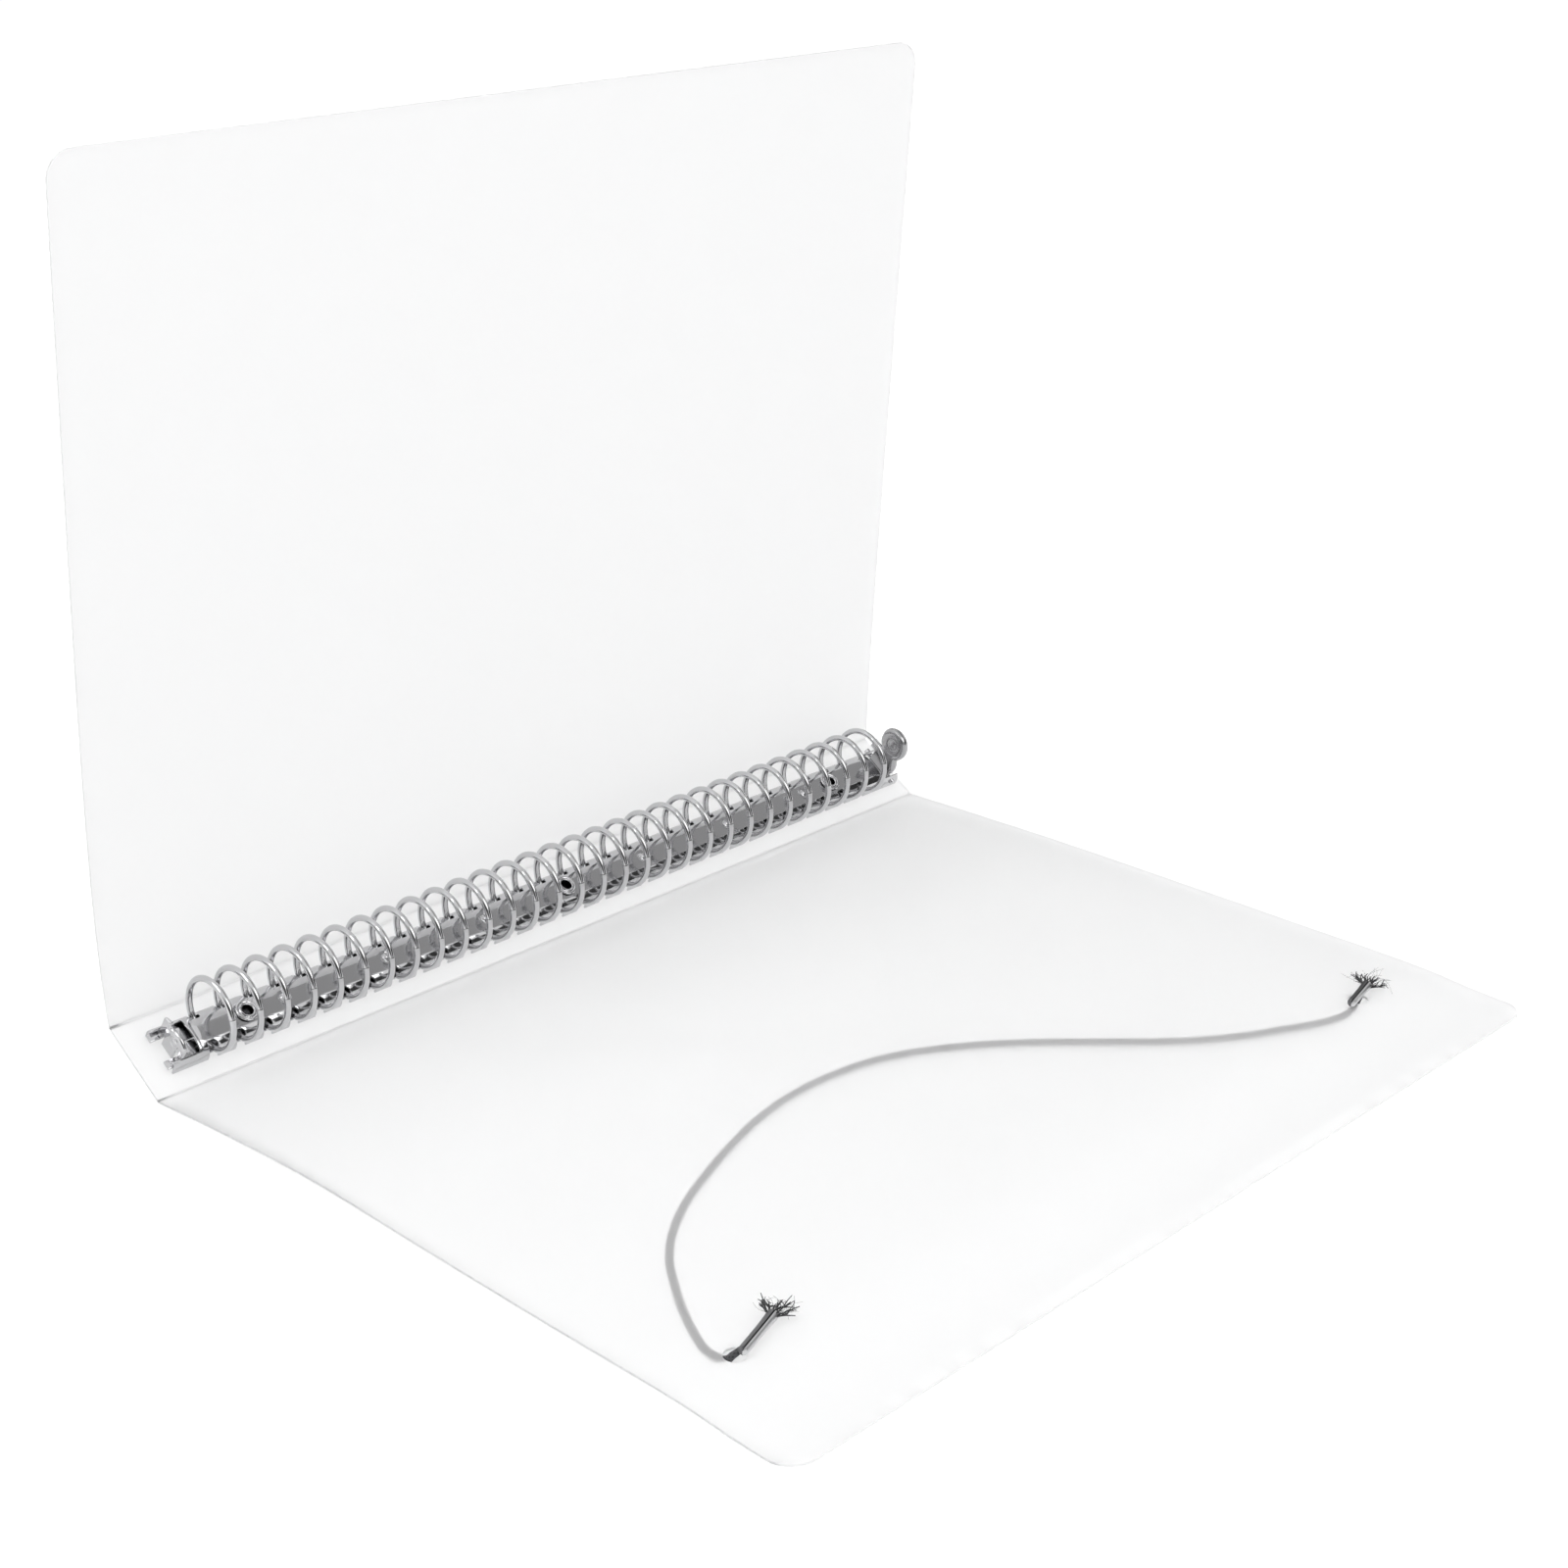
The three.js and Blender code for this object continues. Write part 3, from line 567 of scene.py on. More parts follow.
def sheet_panel(name, start, end, rounded, place, height, body, node, holes=(), hole_radius=0.0):
    """One leaf of the sheet, drawn flat from its fold, bent, given its thickness and punched."""
    bm = bmesh.new()
    bmesh.ops.create_grid(bm, x_segments=1, y_segments=1, size=0.5)
    for vert in bm.verts:
        vert.co.x = end if vert.co.x > 0 else start
        vert.co.y = math.copysign(COVER_LENGTH / 2, vert.co.y)
    if rounded:
        outer = [vert for vert in bm.verts if vert.co.x == end]
        bmesh.ops.bevel(
            bm, geom=outer, offset=CORNER_RADIUS, offset_type="OFFSET", segments=CORNER_STEPS,
            profile=0.5, affect="VERTICES", material=-1,
        )
    for axis, low, high in ((0, start, end), (1, -COVER_LENGTH / 2, COVER_LENGTH / 2)):
        count = round((high - low) / SHEET_STEP)
        normal = Vector((1, 0, 0)) if axis == 0 else Vector((0, 1, 0))
        for k in range(1, count):
            everything = bm.verts[:] + bm.edges[:] + bm.faces[:]
            point = normal * (low + (high - low) * k / count)
            bmesh.ops.bisect_plane(
                bm, geom=everything, plane_co=point, plane_no=normal, dist=CUT_WITHIN,
            )
    for vert in bm.verts:
        vert.co.z = height(vert.co.x, vert.co.y)
    bmesh.ops.transform(bm, matrix=place, verts=bm.verts)
    piece = dress(bm, name, frosted, body, [node])
    add_wall(piece, SHEET, 0.0)
    settle(piece)
    for x, y in holes:
        punch_mesh = bmesh.new()
        stand = place @ Matrix.Translation((x, y, height(x, y)))
        bmesh.ops.create_cone(
            punch_mesh, cap_ends=True, segments=HOLE_SEGMENTS, radius1=hole_radius,
            radius2=hole_radius, depth=PUNCH_LENGTH, matrix=stand,
        )
        punch = add_object("punch", mesh_of(punch_mesh, "punch"))
        cut = piece.modifiers.new("cut", "BOOLEAN")
        cut.operation = "DIFFERENCE"
        cut.object = punch
        settle(piece)
        bpy.data.objects.remove(punch)
    soften_rim(piece, SHEET_EDGE, SHEET_SHARP)


frosted = frosted_sheet()
lying_place = Matrix.Translation(front_fold)
sheet_panel(
    "lying_cover", FOLD_GAP / 2, COVER_WIDTH, True, lying_place, cover_lift, "front_cover", "front_cover",
    CORD_HOLES, CORD_HOLE_RADIUS,
)

# The spine is the narrow leaf of the same sheet between the two folds. It is flat, slopes up from
# the table, and has three punched holes for the rivets of the ring mechanism.
RIVET_SHIFT = 0.0013
RIVET_SPACING = 0.1243
RIVET_HOLE_RADIUS = 0.0027
spine_width = (front_fold - back_fold).length
spine_across = (front_fold - back_fold).normalized()
spine_up = spine_across.cross(Vector((0, 1, 0)))
spine_turn = Matrix((spine_across, Vector((0, 1, 0)), spine_up)).transposed().to_4x4()
spine_middle = Matrix.Translation((front_fold + back_fold) / 2) @ spine_turn
rivet_places = [RIVET_SHIFT + side * RIVET_SPACING for side in (-1, 0, 1)]
sheet_panel(
    "spine_leaf", FOLD_GAP / 2 - spine_width / 2, spine_width / 2 - FOLD_GAP / 2, False, spine_middle,
    lambda x, y: 0.0, "spine", "spine_panel", [(0.0, y) for y in rivet_places], RIVET_HOLE_RADIUS,
)

# The upright cover is the other wide leaf of the sheet. It leans back from its fold, more at its
# near edge than at its far edge, because the sheet keeps a slight twist.
BACK_ANGLE = math.radians(94.9)
LEAN_MIDDLE = 0.0046
LEAN_TWIST = 0.0031
LEAN_REACH = 0.035


def cover_lean(reach, y):
    depth = LEAN_MIDDLE - LEAN_TWIST * 2 * y / COVER_LENGTH
    return depth * (1 - math.exp(-reach / LEAN_REACH))


upright_rise = Vector((-math.cos(BACK_ANGLE), 0, math.sin(BACK_ANGLE)))
upright_out = upright_rise.cross(Vector((0, 1, 0)))
upright_turn = Matrix((upright_rise, Vector((0, 1, 0)), upright_out)).transposed().to_4x4()
upright_place = Matrix.Translation(back_fold) @ upright_turn
sheet_panel(
    "upright_cover", FOLD_GAP / 2, COVER_WIDTH, True, upright_place, cover_lean, "back_cover", "back_cover",
)

# Each fold is a groove pressed into the sheet. The thin web left in it is the hinge; it is drawn fixed as
# it lies now, and joins the leaves along their whole length.
WEB_THICKNESS = 0.00034
WEB_LAP = 0.00006
WEB_STEPS = 8
WEB_LENGTH_STEPS = 40


def fold_web(name, fold, first_way, second_way):
    reach = FOLD_GAP / 2 + WEB_LAP
    bm = bmesh.new()
    bmesh.ops.create_grid(bm, x_segments=WEB_STEPS, y_segments=WEB_LENGTH_STEPS, size=0.5)
    for vert in bm.verts:
        share = 2 * vert.co.x
        way = first_way if share < 0 else second_way
        place = fold + way * abs(share) * reach
        vert.co = Vector((place.x, vert.co.y * COVER_LENGTH, place.z))
    web = dress(bm, name, frosted, None)
    add_wall(web, WEB_THICKNESS, 0.0)
    settle(web)
    web.data.shade_smooth()
    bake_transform(web)


fold_web("front_fold_web", front_fold, Vector((1, 0, 0)), -spine_across)
fold_web("back_fold_web", back_fold, spine_across, upright_rise)

# The shield is an arched strip of sheet steel, plated bright, that hides the two blades. Notches in
# both flanks let the ring wires through, and six small domes are stamped along its crown.
SHIELD_HALF_WIDTH = 0.0075
SHIELD_RISE = 0.0053
SHIELD_WALL = 0.0006
SHIELD_CURVE = 2.5
SHIELD_SEAT = 0.0003
SHIELD_NEAR_END = -0.1517
SHIELD_FAR_END = 0.157
CROWN_NEAR_END = -0.1422
CROWN_FAR_END = 0.149
FLANK_HEIGHT = 0.0042
ACROSS = (
    0.0, 0.0004, 0.0008, 0.0012, 0.0016, 0.002, 0.0025, 0.003, 0.0035, 0.004, 0.0042, 0.0045, 0.0049,
    0.0054, 0.0059, 0.0063, 0.0067, 0.007, 0.00722, 0.00737, 0.00745, 0.00749, 0.0075,
)
NOTCH_INNER = 0.004
NOTCH_HALF = 0.0017
NOTCH_ROUND = 0.0014
NOTCH_LEAST = NOTCH_HALF / 2 + 0.0001
HAIR = 1e-7
STATION_LEAST = 0.00008
HOLE_STEPS = 6
HOLE_REACH = RIVET_HOLE_RADIUS * 0.98
RING_COUNT = 30
RING_PITCH = 0.0095
DOME_OFFSETS = (0.034, 0.073, 0.111)
DOME_RADIUS = 0.0013
DOME_HEIGHT = 0.00055
MOAT_RADIUS = 0.0021
MOAT_DEPTH = 0.0003
DOME_STEP = 0.00035
DOME_STEPS = 7
SHIELD_BEVEL = 0.0001
SHIELD_SHARP = 50.0
NICKEL_TINT = 1.02
NICKEL_GRAIN = (220.0, 5.0)
NICKEL_BUMP = (0.08, 0.00006)
BRIGHT_TONE = 0.56
BRIGHT_ROUGHNESS = (0.05, 0.13)
DULL_TONE = 0.42
DULL_ROUGHNESS = (0.18, 0.26)


def nickel_plate(name, tone, roughness):
    material, nodes, links, shader = finish_nodes(name)
    shader.inputs["Base Color"].default_value = (tone, tone, tone * NICKEL_TINT, 1.0)
    shader.inputs["Metallic"].default_value = 1.0
    film = speckle(nodes, links, nodes.new("ShaderNodeTexCoord"), NICKEL_GRAIN)
    vary_roughness(nodes, links, shader, film, roughness)
    emboss(nodes, links, shader, film, *NICKEL_BUMP)
    return material


def arch_height(x):
    share = min(1.0, (abs(x) / SHIELD_HALF_WIDTH) ** (SHIELD_CURVE / 2))
    return SHIELD_SEAT + SHIELD_RISE * math.sqrt(1 - share * share) ** (2 / SHIELD_CURVE)


def dome_height(x, y):
    for offset in DOME_OFFSETS:
        for side in (-1, 1):
            far = math.hypot(x, y - RIVET_SHIFT - side * offset)
            if far < DOME_RADIUS:
                share = far / DOME_RADIUS
                return DOME_HEIGHT * math.cos(share * math.pi / 2) - MOAT_DEPTH * share
            if far < MOAT_RADIUS:
                share = (far - DOME_RADIUS) / (MOAT_RADIUS - DOME_RADIUS)
                return -MOAT_DEPTH * 0.5 * (1 + math.cos(share * math.pi))
    return 0.0


def shield_stations():
    stations = {SHIELD_NEAR_END, CROWN_NEAR_END, CROWN_FAR_END, SHIELD_FAR_END}
    for y in ring_places:
        stations.update((y - NOTCH_HALF, y - NOTCH_HALF / 2, y, y + NOTCH_HALF / 2, y + NOTCH_HALF))
    for offset in DOME_OFFSETS:
        for side in (-1, 1):
            middle = RIVET_SHIFT + side * offset
            stations.update(middle + k * DOME_STEP for k in range(-DOME_STEPS, DOME_STEPS + 1))
    for middle in rivet_places:
        for k in range(-HOLE_STEPS, HOLE_STEPS + 1):
            stations.add(middle + k * RIVET_HOLE_RADIUS / HOLE_STEPS)
    kept = []
    for y in sorted(stations):
        notch_edge = any(abs(abs(y - place) - NOTCH_HALF) < HAIR for place in ring_places)
        if kept and y - kept[-1] < STATION_LEAST:
            if notch_edge:
                kept[-1] = y
            continue
        kept.append(y)
    return kept


def in_notch(x, y):
    return abs(x) > NOTCH_INNER and any(abs(y - place) < NOTCH_HALF for place in ring_places)


def in_rivet_hole(x, y):
    return any(math.hypot(x, y - place) < HOLE_REACH for place in rivet_places)


nickel = nickel_plate("bright_nickel", BRIGHT_TONE, BRIGHT_ROUGHNESS)
dull_nickel = nickel_plate("dull_nickel", DULL_TONE, DULL_ROUGHNESS)
ring_places = [(i - (RING_COUNT - 1) / 2) * RING_PITCH for i in range(RING_COUNT)]
mechanism_place = spine_middle @ Matrix.Translation((0, 0, SHEET / 2))
across = [-x for x in reversed(ACROSS[1:])] + list(ACROSS)
lengthwise = shield_stations()
shield_mesh = bmesh.new()
bmesh.ops.create_grid(
    shield_mesh, x_segments=len(across) - 1, y_segments=len(lengthwise) - 1, size=0.5,
)
for vert in shield_mesh.verts:
    vert.co.x = across[round((vert.co.x + 0.5) * (len(across) - 1))]
    vert.co.y = lengthwise[round((vert.co.y + 0.5) * (len(lengthwise) - 1))]
waste = []
for face in shield_mesh.faces:
    middle = face.calc_center_median()
    beyond = middle.y < CROWN_NEAR_END or middle.y > CROWN_FAR_END
    if in_notch(middle.x, middle.y) or in_rivet_hole(middle.x, middle.y):
        waste.append(face)
    elif beyond and arch_height(middle.x) > FLANK_HEIGHT:
        waste.append(face)
bmesh.ops.delete(shield_mesh, geom=waste, context="FACES")
for vert in shield_mesh.verts:
    x, y = vert.co.x, vert.co.y
    near = min(ring_places, key=lambda place: abs(y - place))
    inward = NOTCH_INNER + NOTCH_ROUND - abs(x)
    if 0 < inward <= NOTCH_ROUND + CUT_WITHIN and abs(abs(y - near) - NOTCH_HALF) < CUT_WITHIN:
        half = NOTCH_HALF - NOTCH_ROUND * (1 - math.sqrt(max(0.0, 1 - (inward / NOTCH_ROUND) ** 2)))
        vert.co.y = near + math.copysign(max(half, NOTCH_LEAST), y - near)
    vert.co.z = arch_height(x) + dome_height(x, y)
bmesh.ops.transform(shield_mesh, matrix=mechanism_place, verts=shield_mesh.verts)
shield = dress(
    shield_mesh, "arched_shield", nickel, "spine", ["mechanism_shield"], SHEET_SHARP,
)
shield_up = sum((face.normal.dot(spine_up) for face in shield.data.polygons), 0.0)
if shield_up < 0:
    shield.data.flip_normals()
add_wall(shield, SHIELD_WALL, -1.0)
soften_rim(shield, SHIELD_BEVEL, SHIELD_SHARP)

# Two flat steel blades lie under the shield. Thirty long half rings are staked into the left one
# and thirty short halves into the right one, and each blade ends in a tab for the fingers.
RING_OUTER_RADIUS = 0.0119
WIRE_RADIUS = 0.001
RING_CENTRE_HEIGHT = 0.0127
RING_JOINT = math.radians(45)
RING_JOINT_GAP = 0.00012
WIRE_SIDES = 14
WIRE_STEP = 0.0009
WIRE_FOOT = 0.003
FOOT_FLARE = 0.28
JOINT_SWELL = 0.10
JOINT_REACH = 0.0012
BLADE_INNER = 0.00015
BLADE_OUTER = 0.0064
BLADE_BOTTOM = 0.0015
BLADE_THICKNESS = 0.0008
BLADE_NEAR_END = -0.147
BLADE_FAR_END = 0.150
TAB_INNER = 0.0036
TAB_LENGTH = 0.006
BLADE_BEVEL = 0.00018
BLADE_RELIEF = 0.0031
BLADE_LAP = BLADE_RELIEF / 4


def soften_edges(bm, edges, bevel):
    bmesh.ops.bevel(
        bm, geom=edges, offset=bevel, offset_type="OFFSET", segments=2, profile=0.5, affect="EDGES",
        material=-1,
    )


def bar(bm, x0, x1, y0, y1, z0, z1, bevel):
    """A straight bar with softened edges."""
    size = Matrix.Diagonal((x1 - x0, y1 - y0, z1 - z0, 1.0))
    place = Matrix.Translation(((x0 + x1) / 2, (y0 + y1) / 2, (z0 + z1) / 2))
    made = bmesh.ops.create_cube(bm, size=1.0, matrix=place @ size)["verts"]
    soften_edges(bm, list({edge for vert in made for edge in vert.link_edges}), bevel)


def half_ring(first, last):
    """One half of a ring wire, at the middle of the spine."""
    radius = RING_OUTER_RADIUS - WIRE_RADIUS
    count = round(abs(last - first) * radius / WIRE_STEP)
    route = []
    radii = []
    for i in range(count + 1):
        angle = first + (last - first) * i / count
        route.append(Vector((radius * math.cos(angle), 0, RING_CENTRE_HEIGHT + radius * math.sin(angle))))
        to_joint = abs(last - angle) * radius
        swell = JOINT_SWELL * math.exp(-(to_joint / JOINT_REACH) ** 2)
        low = max(0.0, 1 - (route[-1].z - BLADE_BOTTOM) / RING_CENTRE_HEIGHT * 2)
        flare = FOOT_FLARE * low * low
        radii.append((WIRE_RADIUS * (1 + swell), WIRE_RADIUS * (1 + flare + swell)))
    shape = bmesh.new()
    sweep(shape, stations_along(route), WIRE_SIDES, radii)
    return mesh_of(shape, "wire")


def ring_bar(name, side, first, last, body, node):
    bm = bmesh.new()
    top = BLADE_BOTTOM + BLADE_THICKNESS
    low, high = (-BLADE_OUTER, -BLADE_INNER) if side < 0 else (BLADE_INNER, BLADE_OUTER)
    outer = (-BLADE_OUTER, -BLADE_RELIEF) if side < 0 else (BLADE_RELIEF, BLADE_OUTER)
    breaks = [BLADE_NEAR_END]
    for place in rivet_places:
        breaks += [place - BLADE_RELIEF, place + BLADE_RELIEF]
    breaks.append(BLADE_FAR_END)
    for start, end in zip(breaks[::2], breaks[1::2]):
        bar(bm, low, high, start, end, BLADE_BOTTOM, top, BLADE_BEVEL)
    for start, end in zip(breaks[1:-1:2], breaks[2:-1:2]):
        bar(bm, *outer, start - BLADE_LAP, end + BLADE_LAP, BLADE_BOTTOM, top, BLADE_BEVEL)
    tab = (-BLADE_OUTER, -TAB_INNER) if side < 0 else (TAB_INNER, BLADE_OUTER)
    tab_end = BLADE_NEAR_END + BLADE_RELIEF
    bar(bm, *tab, BLADE_NEAR_END - TAB_LENGTH, tab_end, BLADE_BOTTOM, top, BLADE_BEVEL)
    wire = half_ring(first, last)
    wire.transform(Matrix.Translation((0, ring_places[0], 0)))
    for _ in ring_places:
        bm.from_mesh(wire)
        wire.transform(Matrix.Translation((0, RING_PITCH, 0)))
    bmesh.ops.transform(bm, matrix=mechanism_place, verts=bm.verts)
    return dress(bm, name, nickel, body, [node])


wire_foot = math.asin(WIRE_FOOT / (RING_OUTER_RADIUS - WIRE_RADIUS))
joint_gap = RING_JOINT_GAP / (2 * RING_OUTER_RADIUS)
ring_bar(
    "left_rings", -1, 1.5 * math.pi - wire_foot, RING_JOINT + joint_gap, "left_rings", "left_ring_bar",
)
ring_bar(
    "right_rings", 1, wire_foot - math.pi / 2, RING_JOINT - joint_gap, "right_rings", "right_ring_bar",
)

# Three hollow rivets of drawn steel hold the shield to the spine. The wide foot is behind the
# plastic, and the end over the shield is rolled out into a double lip round its open bore.
RIVET_SEGMENTS = 40
RIVET_PROFILE = (
    (0.0, -0.0017), (0.0042, -0.0017), (0.0042, -0.0014), (0.0040, -0.0011), (0.0024, -0.0011),
    (0.0024, 0.0059), (0.00355, 0.0059), (0.0036, 0.00615), (0.00345, 0.0064), (0.0032, 0.0065),
    (0.0029, 0.00642), (0.0027, 0.00632), (0.0025, 0.0064), (0.00225, 0.0067), (0.00205, 0.0067),
    (0.00185, 0.00655), (0.00175, 0.0062), (0.00175, -0.0007), (0.0, -0.0007),
)
rivet_nodes = ("near_rivet", "middle_rivet", "far_rivet")


def spun(bm, profile, place, segments):
    """Adds a turned piece to a mesh. Its profile of radius and height runs from axis to axis."""
    turned = bmesh.new()
    verts = [turned.verts.new((radius, 0, height)) for radius, height in profile]
    edges = [turned.edges.new(pair) for pair in zip(verts, verts[1:])]
    bmesh.ops.spin(
        turned, geom=verts + edges, cent=(0, 0, 0), axis=(0, 0, 1), angle=2 * math.pi, steps=segments,
        use_merge=True, use_duplicate=False,
    )
    bmesh.ops.remove_doubles(turned, verts=turned.verts, dist=CUT_WITHIN)
    bmesh.ops.transform(turned, matrix=place, verts=turned.verts)
    bmesh.ops.recalc_face_normals(turned, faces=turned.faces)
    bm.from_mesh(mesh_of(turned, "turned"))


for node, y in zip(rivet_nodes, rivet_places):
    rivet_mesh = bmesh.new()
    spun(rivet_mesh, RIVET_PROFILE, mechanism_place @ Matrix.Translation((0, y, 0)), RIVET_SEGMENTS)
    dress(rivet_mesh, node + "_rolled", nickel, "spine", [node])

# A small upright plate closes the near end of the mechanism. It is stamped from sheet steel with a
# humped top, a rolled rim and a round dimple, and stands on the spine between the flanks.
PLATE_THICKNESS = 0.001
PLATE_FACE = -0.1494
PLATE_HALF = 0.0056
PLATE_FOOT_HALF = 0.0028
PLATE_SHOULDER = 0.0047
PLATE_TOP = 0.0086
PLATE_HUMP = 0.0026
PLATE_BEVEL = 0.00025
PLATE_CURVE_STEPS = 6
PLATE_RIM_RADIUS = 0.0007
PLATE_RIM_SIDES = 10
RIM_STEP = 0.0004
DIMPLE_ACROSS = 0.0014
DIMPLE_UP = 0.0068
DIMPLE_PROUD = 0.0003
DIMPLE_SEGMENTS = 28
DIMPLE_PROFILE = (
    (0.0, 0.0), (0.0006, -0.00005), (0.0010, -0.0002), (0.0013, -0.00042), (0.0016, -0.00028),
    (0.0019, -0.0002), (0.0021, -0.00035), (0.0022, -0.0006), (0.0, -0.0006),
)


def curved(start, bend, end, steps):
    """Points of a quadratic curve after its start."""
    points = []
    for i in range(1, steps + 1):
        t = i / steps
        points.append(start * (1 - t) ** 2 + bend * 2 * t * (1 - t) + end * t * t)
    return points


def plate(bm, outline, y0, y1, bevel):
    """A flat plate from its outline across and up, standing between two places along the spine."""
    verts = [bm.verts.new((point.x, y0, point.y)) for point in outline]
    face = bm.faces.new(verts)
    grown = bmesh.ops.extrude_face_region(bm, geom=[face])["geom"]
    moved = [item for item in grown if isinstance(item, bmesh.types.BMVert)]
    bmesh.ops.translate(bm, verts=moved, vec=(0, y1 - y0, 0))
    both = set(verts) | set(moved)
    rims = [
        edge for edge in bm.edges
        if set(edge.verts) <= both and abs(edge.verts[0].co.y - edge.verts[1].co.y) < HAIR
    ]
    soften_edges(bm, rims, bevel)


plate_outline = [
    Vector((-PLATE_FOOT_HALF, SHIELD_SEAT)), Vector((PLATE_FOOT_HALF, SHIELD_SEAT)),
    Vector((PLATE_FOOT_HALF, PLATE_SHOULDER)), Vector((PLATE_HALF, PLATE_SHOULDER)),
    Vector((PLATE_HALF, PLATE_TOP)),
]
plate_top = [Vector((PLATE_HALF, PLATE_TOP))]
plate_top += curved(
    plate_top[-1], Vector((PLATE_HALF / 2, PLATE_TOP + PLATE_HUMP)),
    Vector((0, PLATE_TOP + PLATE_HUMP / 2)), PLATE_CURVE_STEPS,
)
plate_top += curved(
    plate_top[-1], Vector((-PLATE_HALF / 2, PLATE_TOP)),
    Vector((-PLATE_HALF / 2, PLATE_TOP + PLATE_HUMP)), PLATE_CURVE_STEPS,
)
plate_outline += plate_top[1:]
plate_outline += [
    Vector((-PLATE_HALF, PLATE_TOP + PLATE_HUMP / 2)), Vector((-PLATE_HALF, PLATE_SHOULDER)),
    Vector((-PLATE_FOOT_HALF, PLATE_SHOULDER)),
]
end_plate_mesh = bmesh.new()
plate(end_plate_mesh, plate_outline, PLATE_FACE, PLATE_FACE + PLATE_THICKNESS, PLATE_BEVEL)
rim_y = PLATE_FACE + PLATE_THICKNESS / 2
rim_route = [Vector((point.x, rim_y, point.y - PLATE_RIM_RADIUS / 2)) for point in plate_top]
rim_route.insert(0, Vector((PLATE_HALF, rim_y, PLATE_SHOULDER + PLATE_RIM_RADIUS)))
rim_route = smooth_route(rim_route, RIM_STEP)
rim_radii = [PLATE_RIM_RADIUS] * len(rim_route)
sweep(end_plate_mesh, stations_along(rim_route), PLATE_RIM_SIDES, rim_radii)
face_turn = Matrix.Rotation(math.pi / 2, 4, "X")
dimple_place = Matrix.Translation((DIMPLE_ACROSS, PLATE_FACE - DIMPLE_PROUD, DIMPLE_UP)) @ face_turn
spun(end_plate_mesh, DIMPLE_PROFILE, dimple_place, DIMPLE_SEGMENTS)
bmesh.ops.transform(end_plate_mesh, matrix=mechanism_place, verts=end_plate_mesh.verts)
dress(end_plate_mesh, "stamped_end_plate", nickel, "spine", ["near_end_plate"])

# The opening lever stands at the far end and turns on a cross pin. It is stamped steel, with a
# round dimpled head whose rim is curled over, a narrow neck, and a wing over the end of the shield.
PIN_RADIUS = 0.001
PIN_HEIGHT = 0.0024
PIN_PROUD = 0.0005
PIN_FROM_END = 0.003
LEVER_THICKNESS = 0.0012
LEVER_BACK = 0.0004
KNUCKLE_RADIUS = 0.0017
LEVER_FOOT_HALF = 0.0044
LEVER_FOOT_BOTTOM = 0.001
WING_BOTTOM = 0.0068
WING_TOP = 0.0104
WING_HALF = 0.007
NECK_HALF = 0.0029
HEAD_RADIUS = 0.0054
HEAD_HEIGHT = 0.0154
LEVER_BEVEL = 0.0003
CURL_WIDTH = 0.00095
CURL_DEPTH = 0.0015
CURL_BACK = 0.0009
CURL_INSET = 0.0004
CURL_FOOT = ((0.0046, 0.0034), (0.0050, 0.0056), (0.0048, 0.0078), (0.0038, 0.0100))
CURL_STEPS = 30
CURL_SIDES = 14
CURL_TIP_SHARE = 0.06
CURL_TAPER = 5
NECK_STEPS = 8
CURL_START = math.radians(-48)
CURL_END = math.radians(205)
HEAD_STEPS = 36
HEAD_PROFILE = (
    (0.0, 0.0005), (0.0005, 0.00047), (0.0010, 0.00034), (0.0014, 0.00012), (0.0017, -0.0001),
    (0.0019, -0.00018), (0.0021, -0.0001), (0.0023, 0.00006), (0.0026, 0.00012), (0.0034, 0.0001),
    (0.0042, 0.0), (0.0045, -0.0003), (0.0045, -0.0006), (0.0, -0.0006),
)
ROUND_SEGMENTS = 28


def cross_cylinder(bm, radius, half, y, z, bevel):
    turned = Matrix.Translation((0, y, z)) @ Matrix.Rotation(math.pi / 2, 4, "Y")
    made = bmesh.ops.create_cone(
        bm, cap_ends=True, segments=ROUND_SEGMENTS, radius1=radius, radius2=radius, depth=2 * half,
        matrix=turned,
    )["verts"]
    rims = [
        edge for edge in {edge for vert in made for edge in vert.link_edges}
        if abs(edge.verts[0].co.x - edge.verts[1].co.x) < HAIR
    ]
    soften_edges(bm, rims, bevel)


pin_y = SHIELD_FAR_END - PIN_FROM_END
lever_face = pin_y - LEVER_BACK - LEVER_THICKNESS
neck_meet = math.asin(NECK_HALF / HEAD_RADIUS)
neck_top = HEAD_HEIGHT - HEAD_RADIUS * math.cos(neck_meet)
lever_outline = [
    Vector((-LEVER_FOOT_HALF, LEVER_FOOT_BOTTOM)), Vector((LEVER_FOOT_HALF, LEVER_FOOT_BOTTOM)),
    Vector((LEVER_FOOT_HALF, WING_BOTTOM)),
]
lever_outline += curved(
    lever_outline[-1], Vector((NECK_HALF, WING_TOP)), Vector((NECK_HALF, neck_top)), NECK_STEPS,
)
for i in range(1, HEAD_STEPS + 1):
    angle = neck_meet - math.pi / 2 + (2 * math.pi - 2 * neck_meet) * i / HEAD_STEPS
    up_head = HEAD_HEIGHT + HEAD_RADIUS * math.sin(angle)
    lever_outline.append(Vector((HEAD_RADIUS * math.cos(angle), up_head)))
lever_outline += curved(
    lever_outline[-1], Vector((-NECK_HALF, WING_TOP)), Vector((-WING_HALF, WING_TOP)), NECK_STEPS,
)
lever_outline += [Vector((-WING_HALF, WING_BOTTOM)), Vector((-LEVER_FOOT_HALF, WING_BOTTOM))]
lever_mesh = bmesh.new()
plate(lever_mesh, lever_outline, lever_face, lever_face + LEVER_THICKNESS, LEVER_BEVEL)
curl_y = lever_face + CURL_BACK
curl_radius = HEAD_RADIUS - CURL_INSET
curl_route = [Vector((x, curl_y, height)) for x, height in CURL_FOOT]
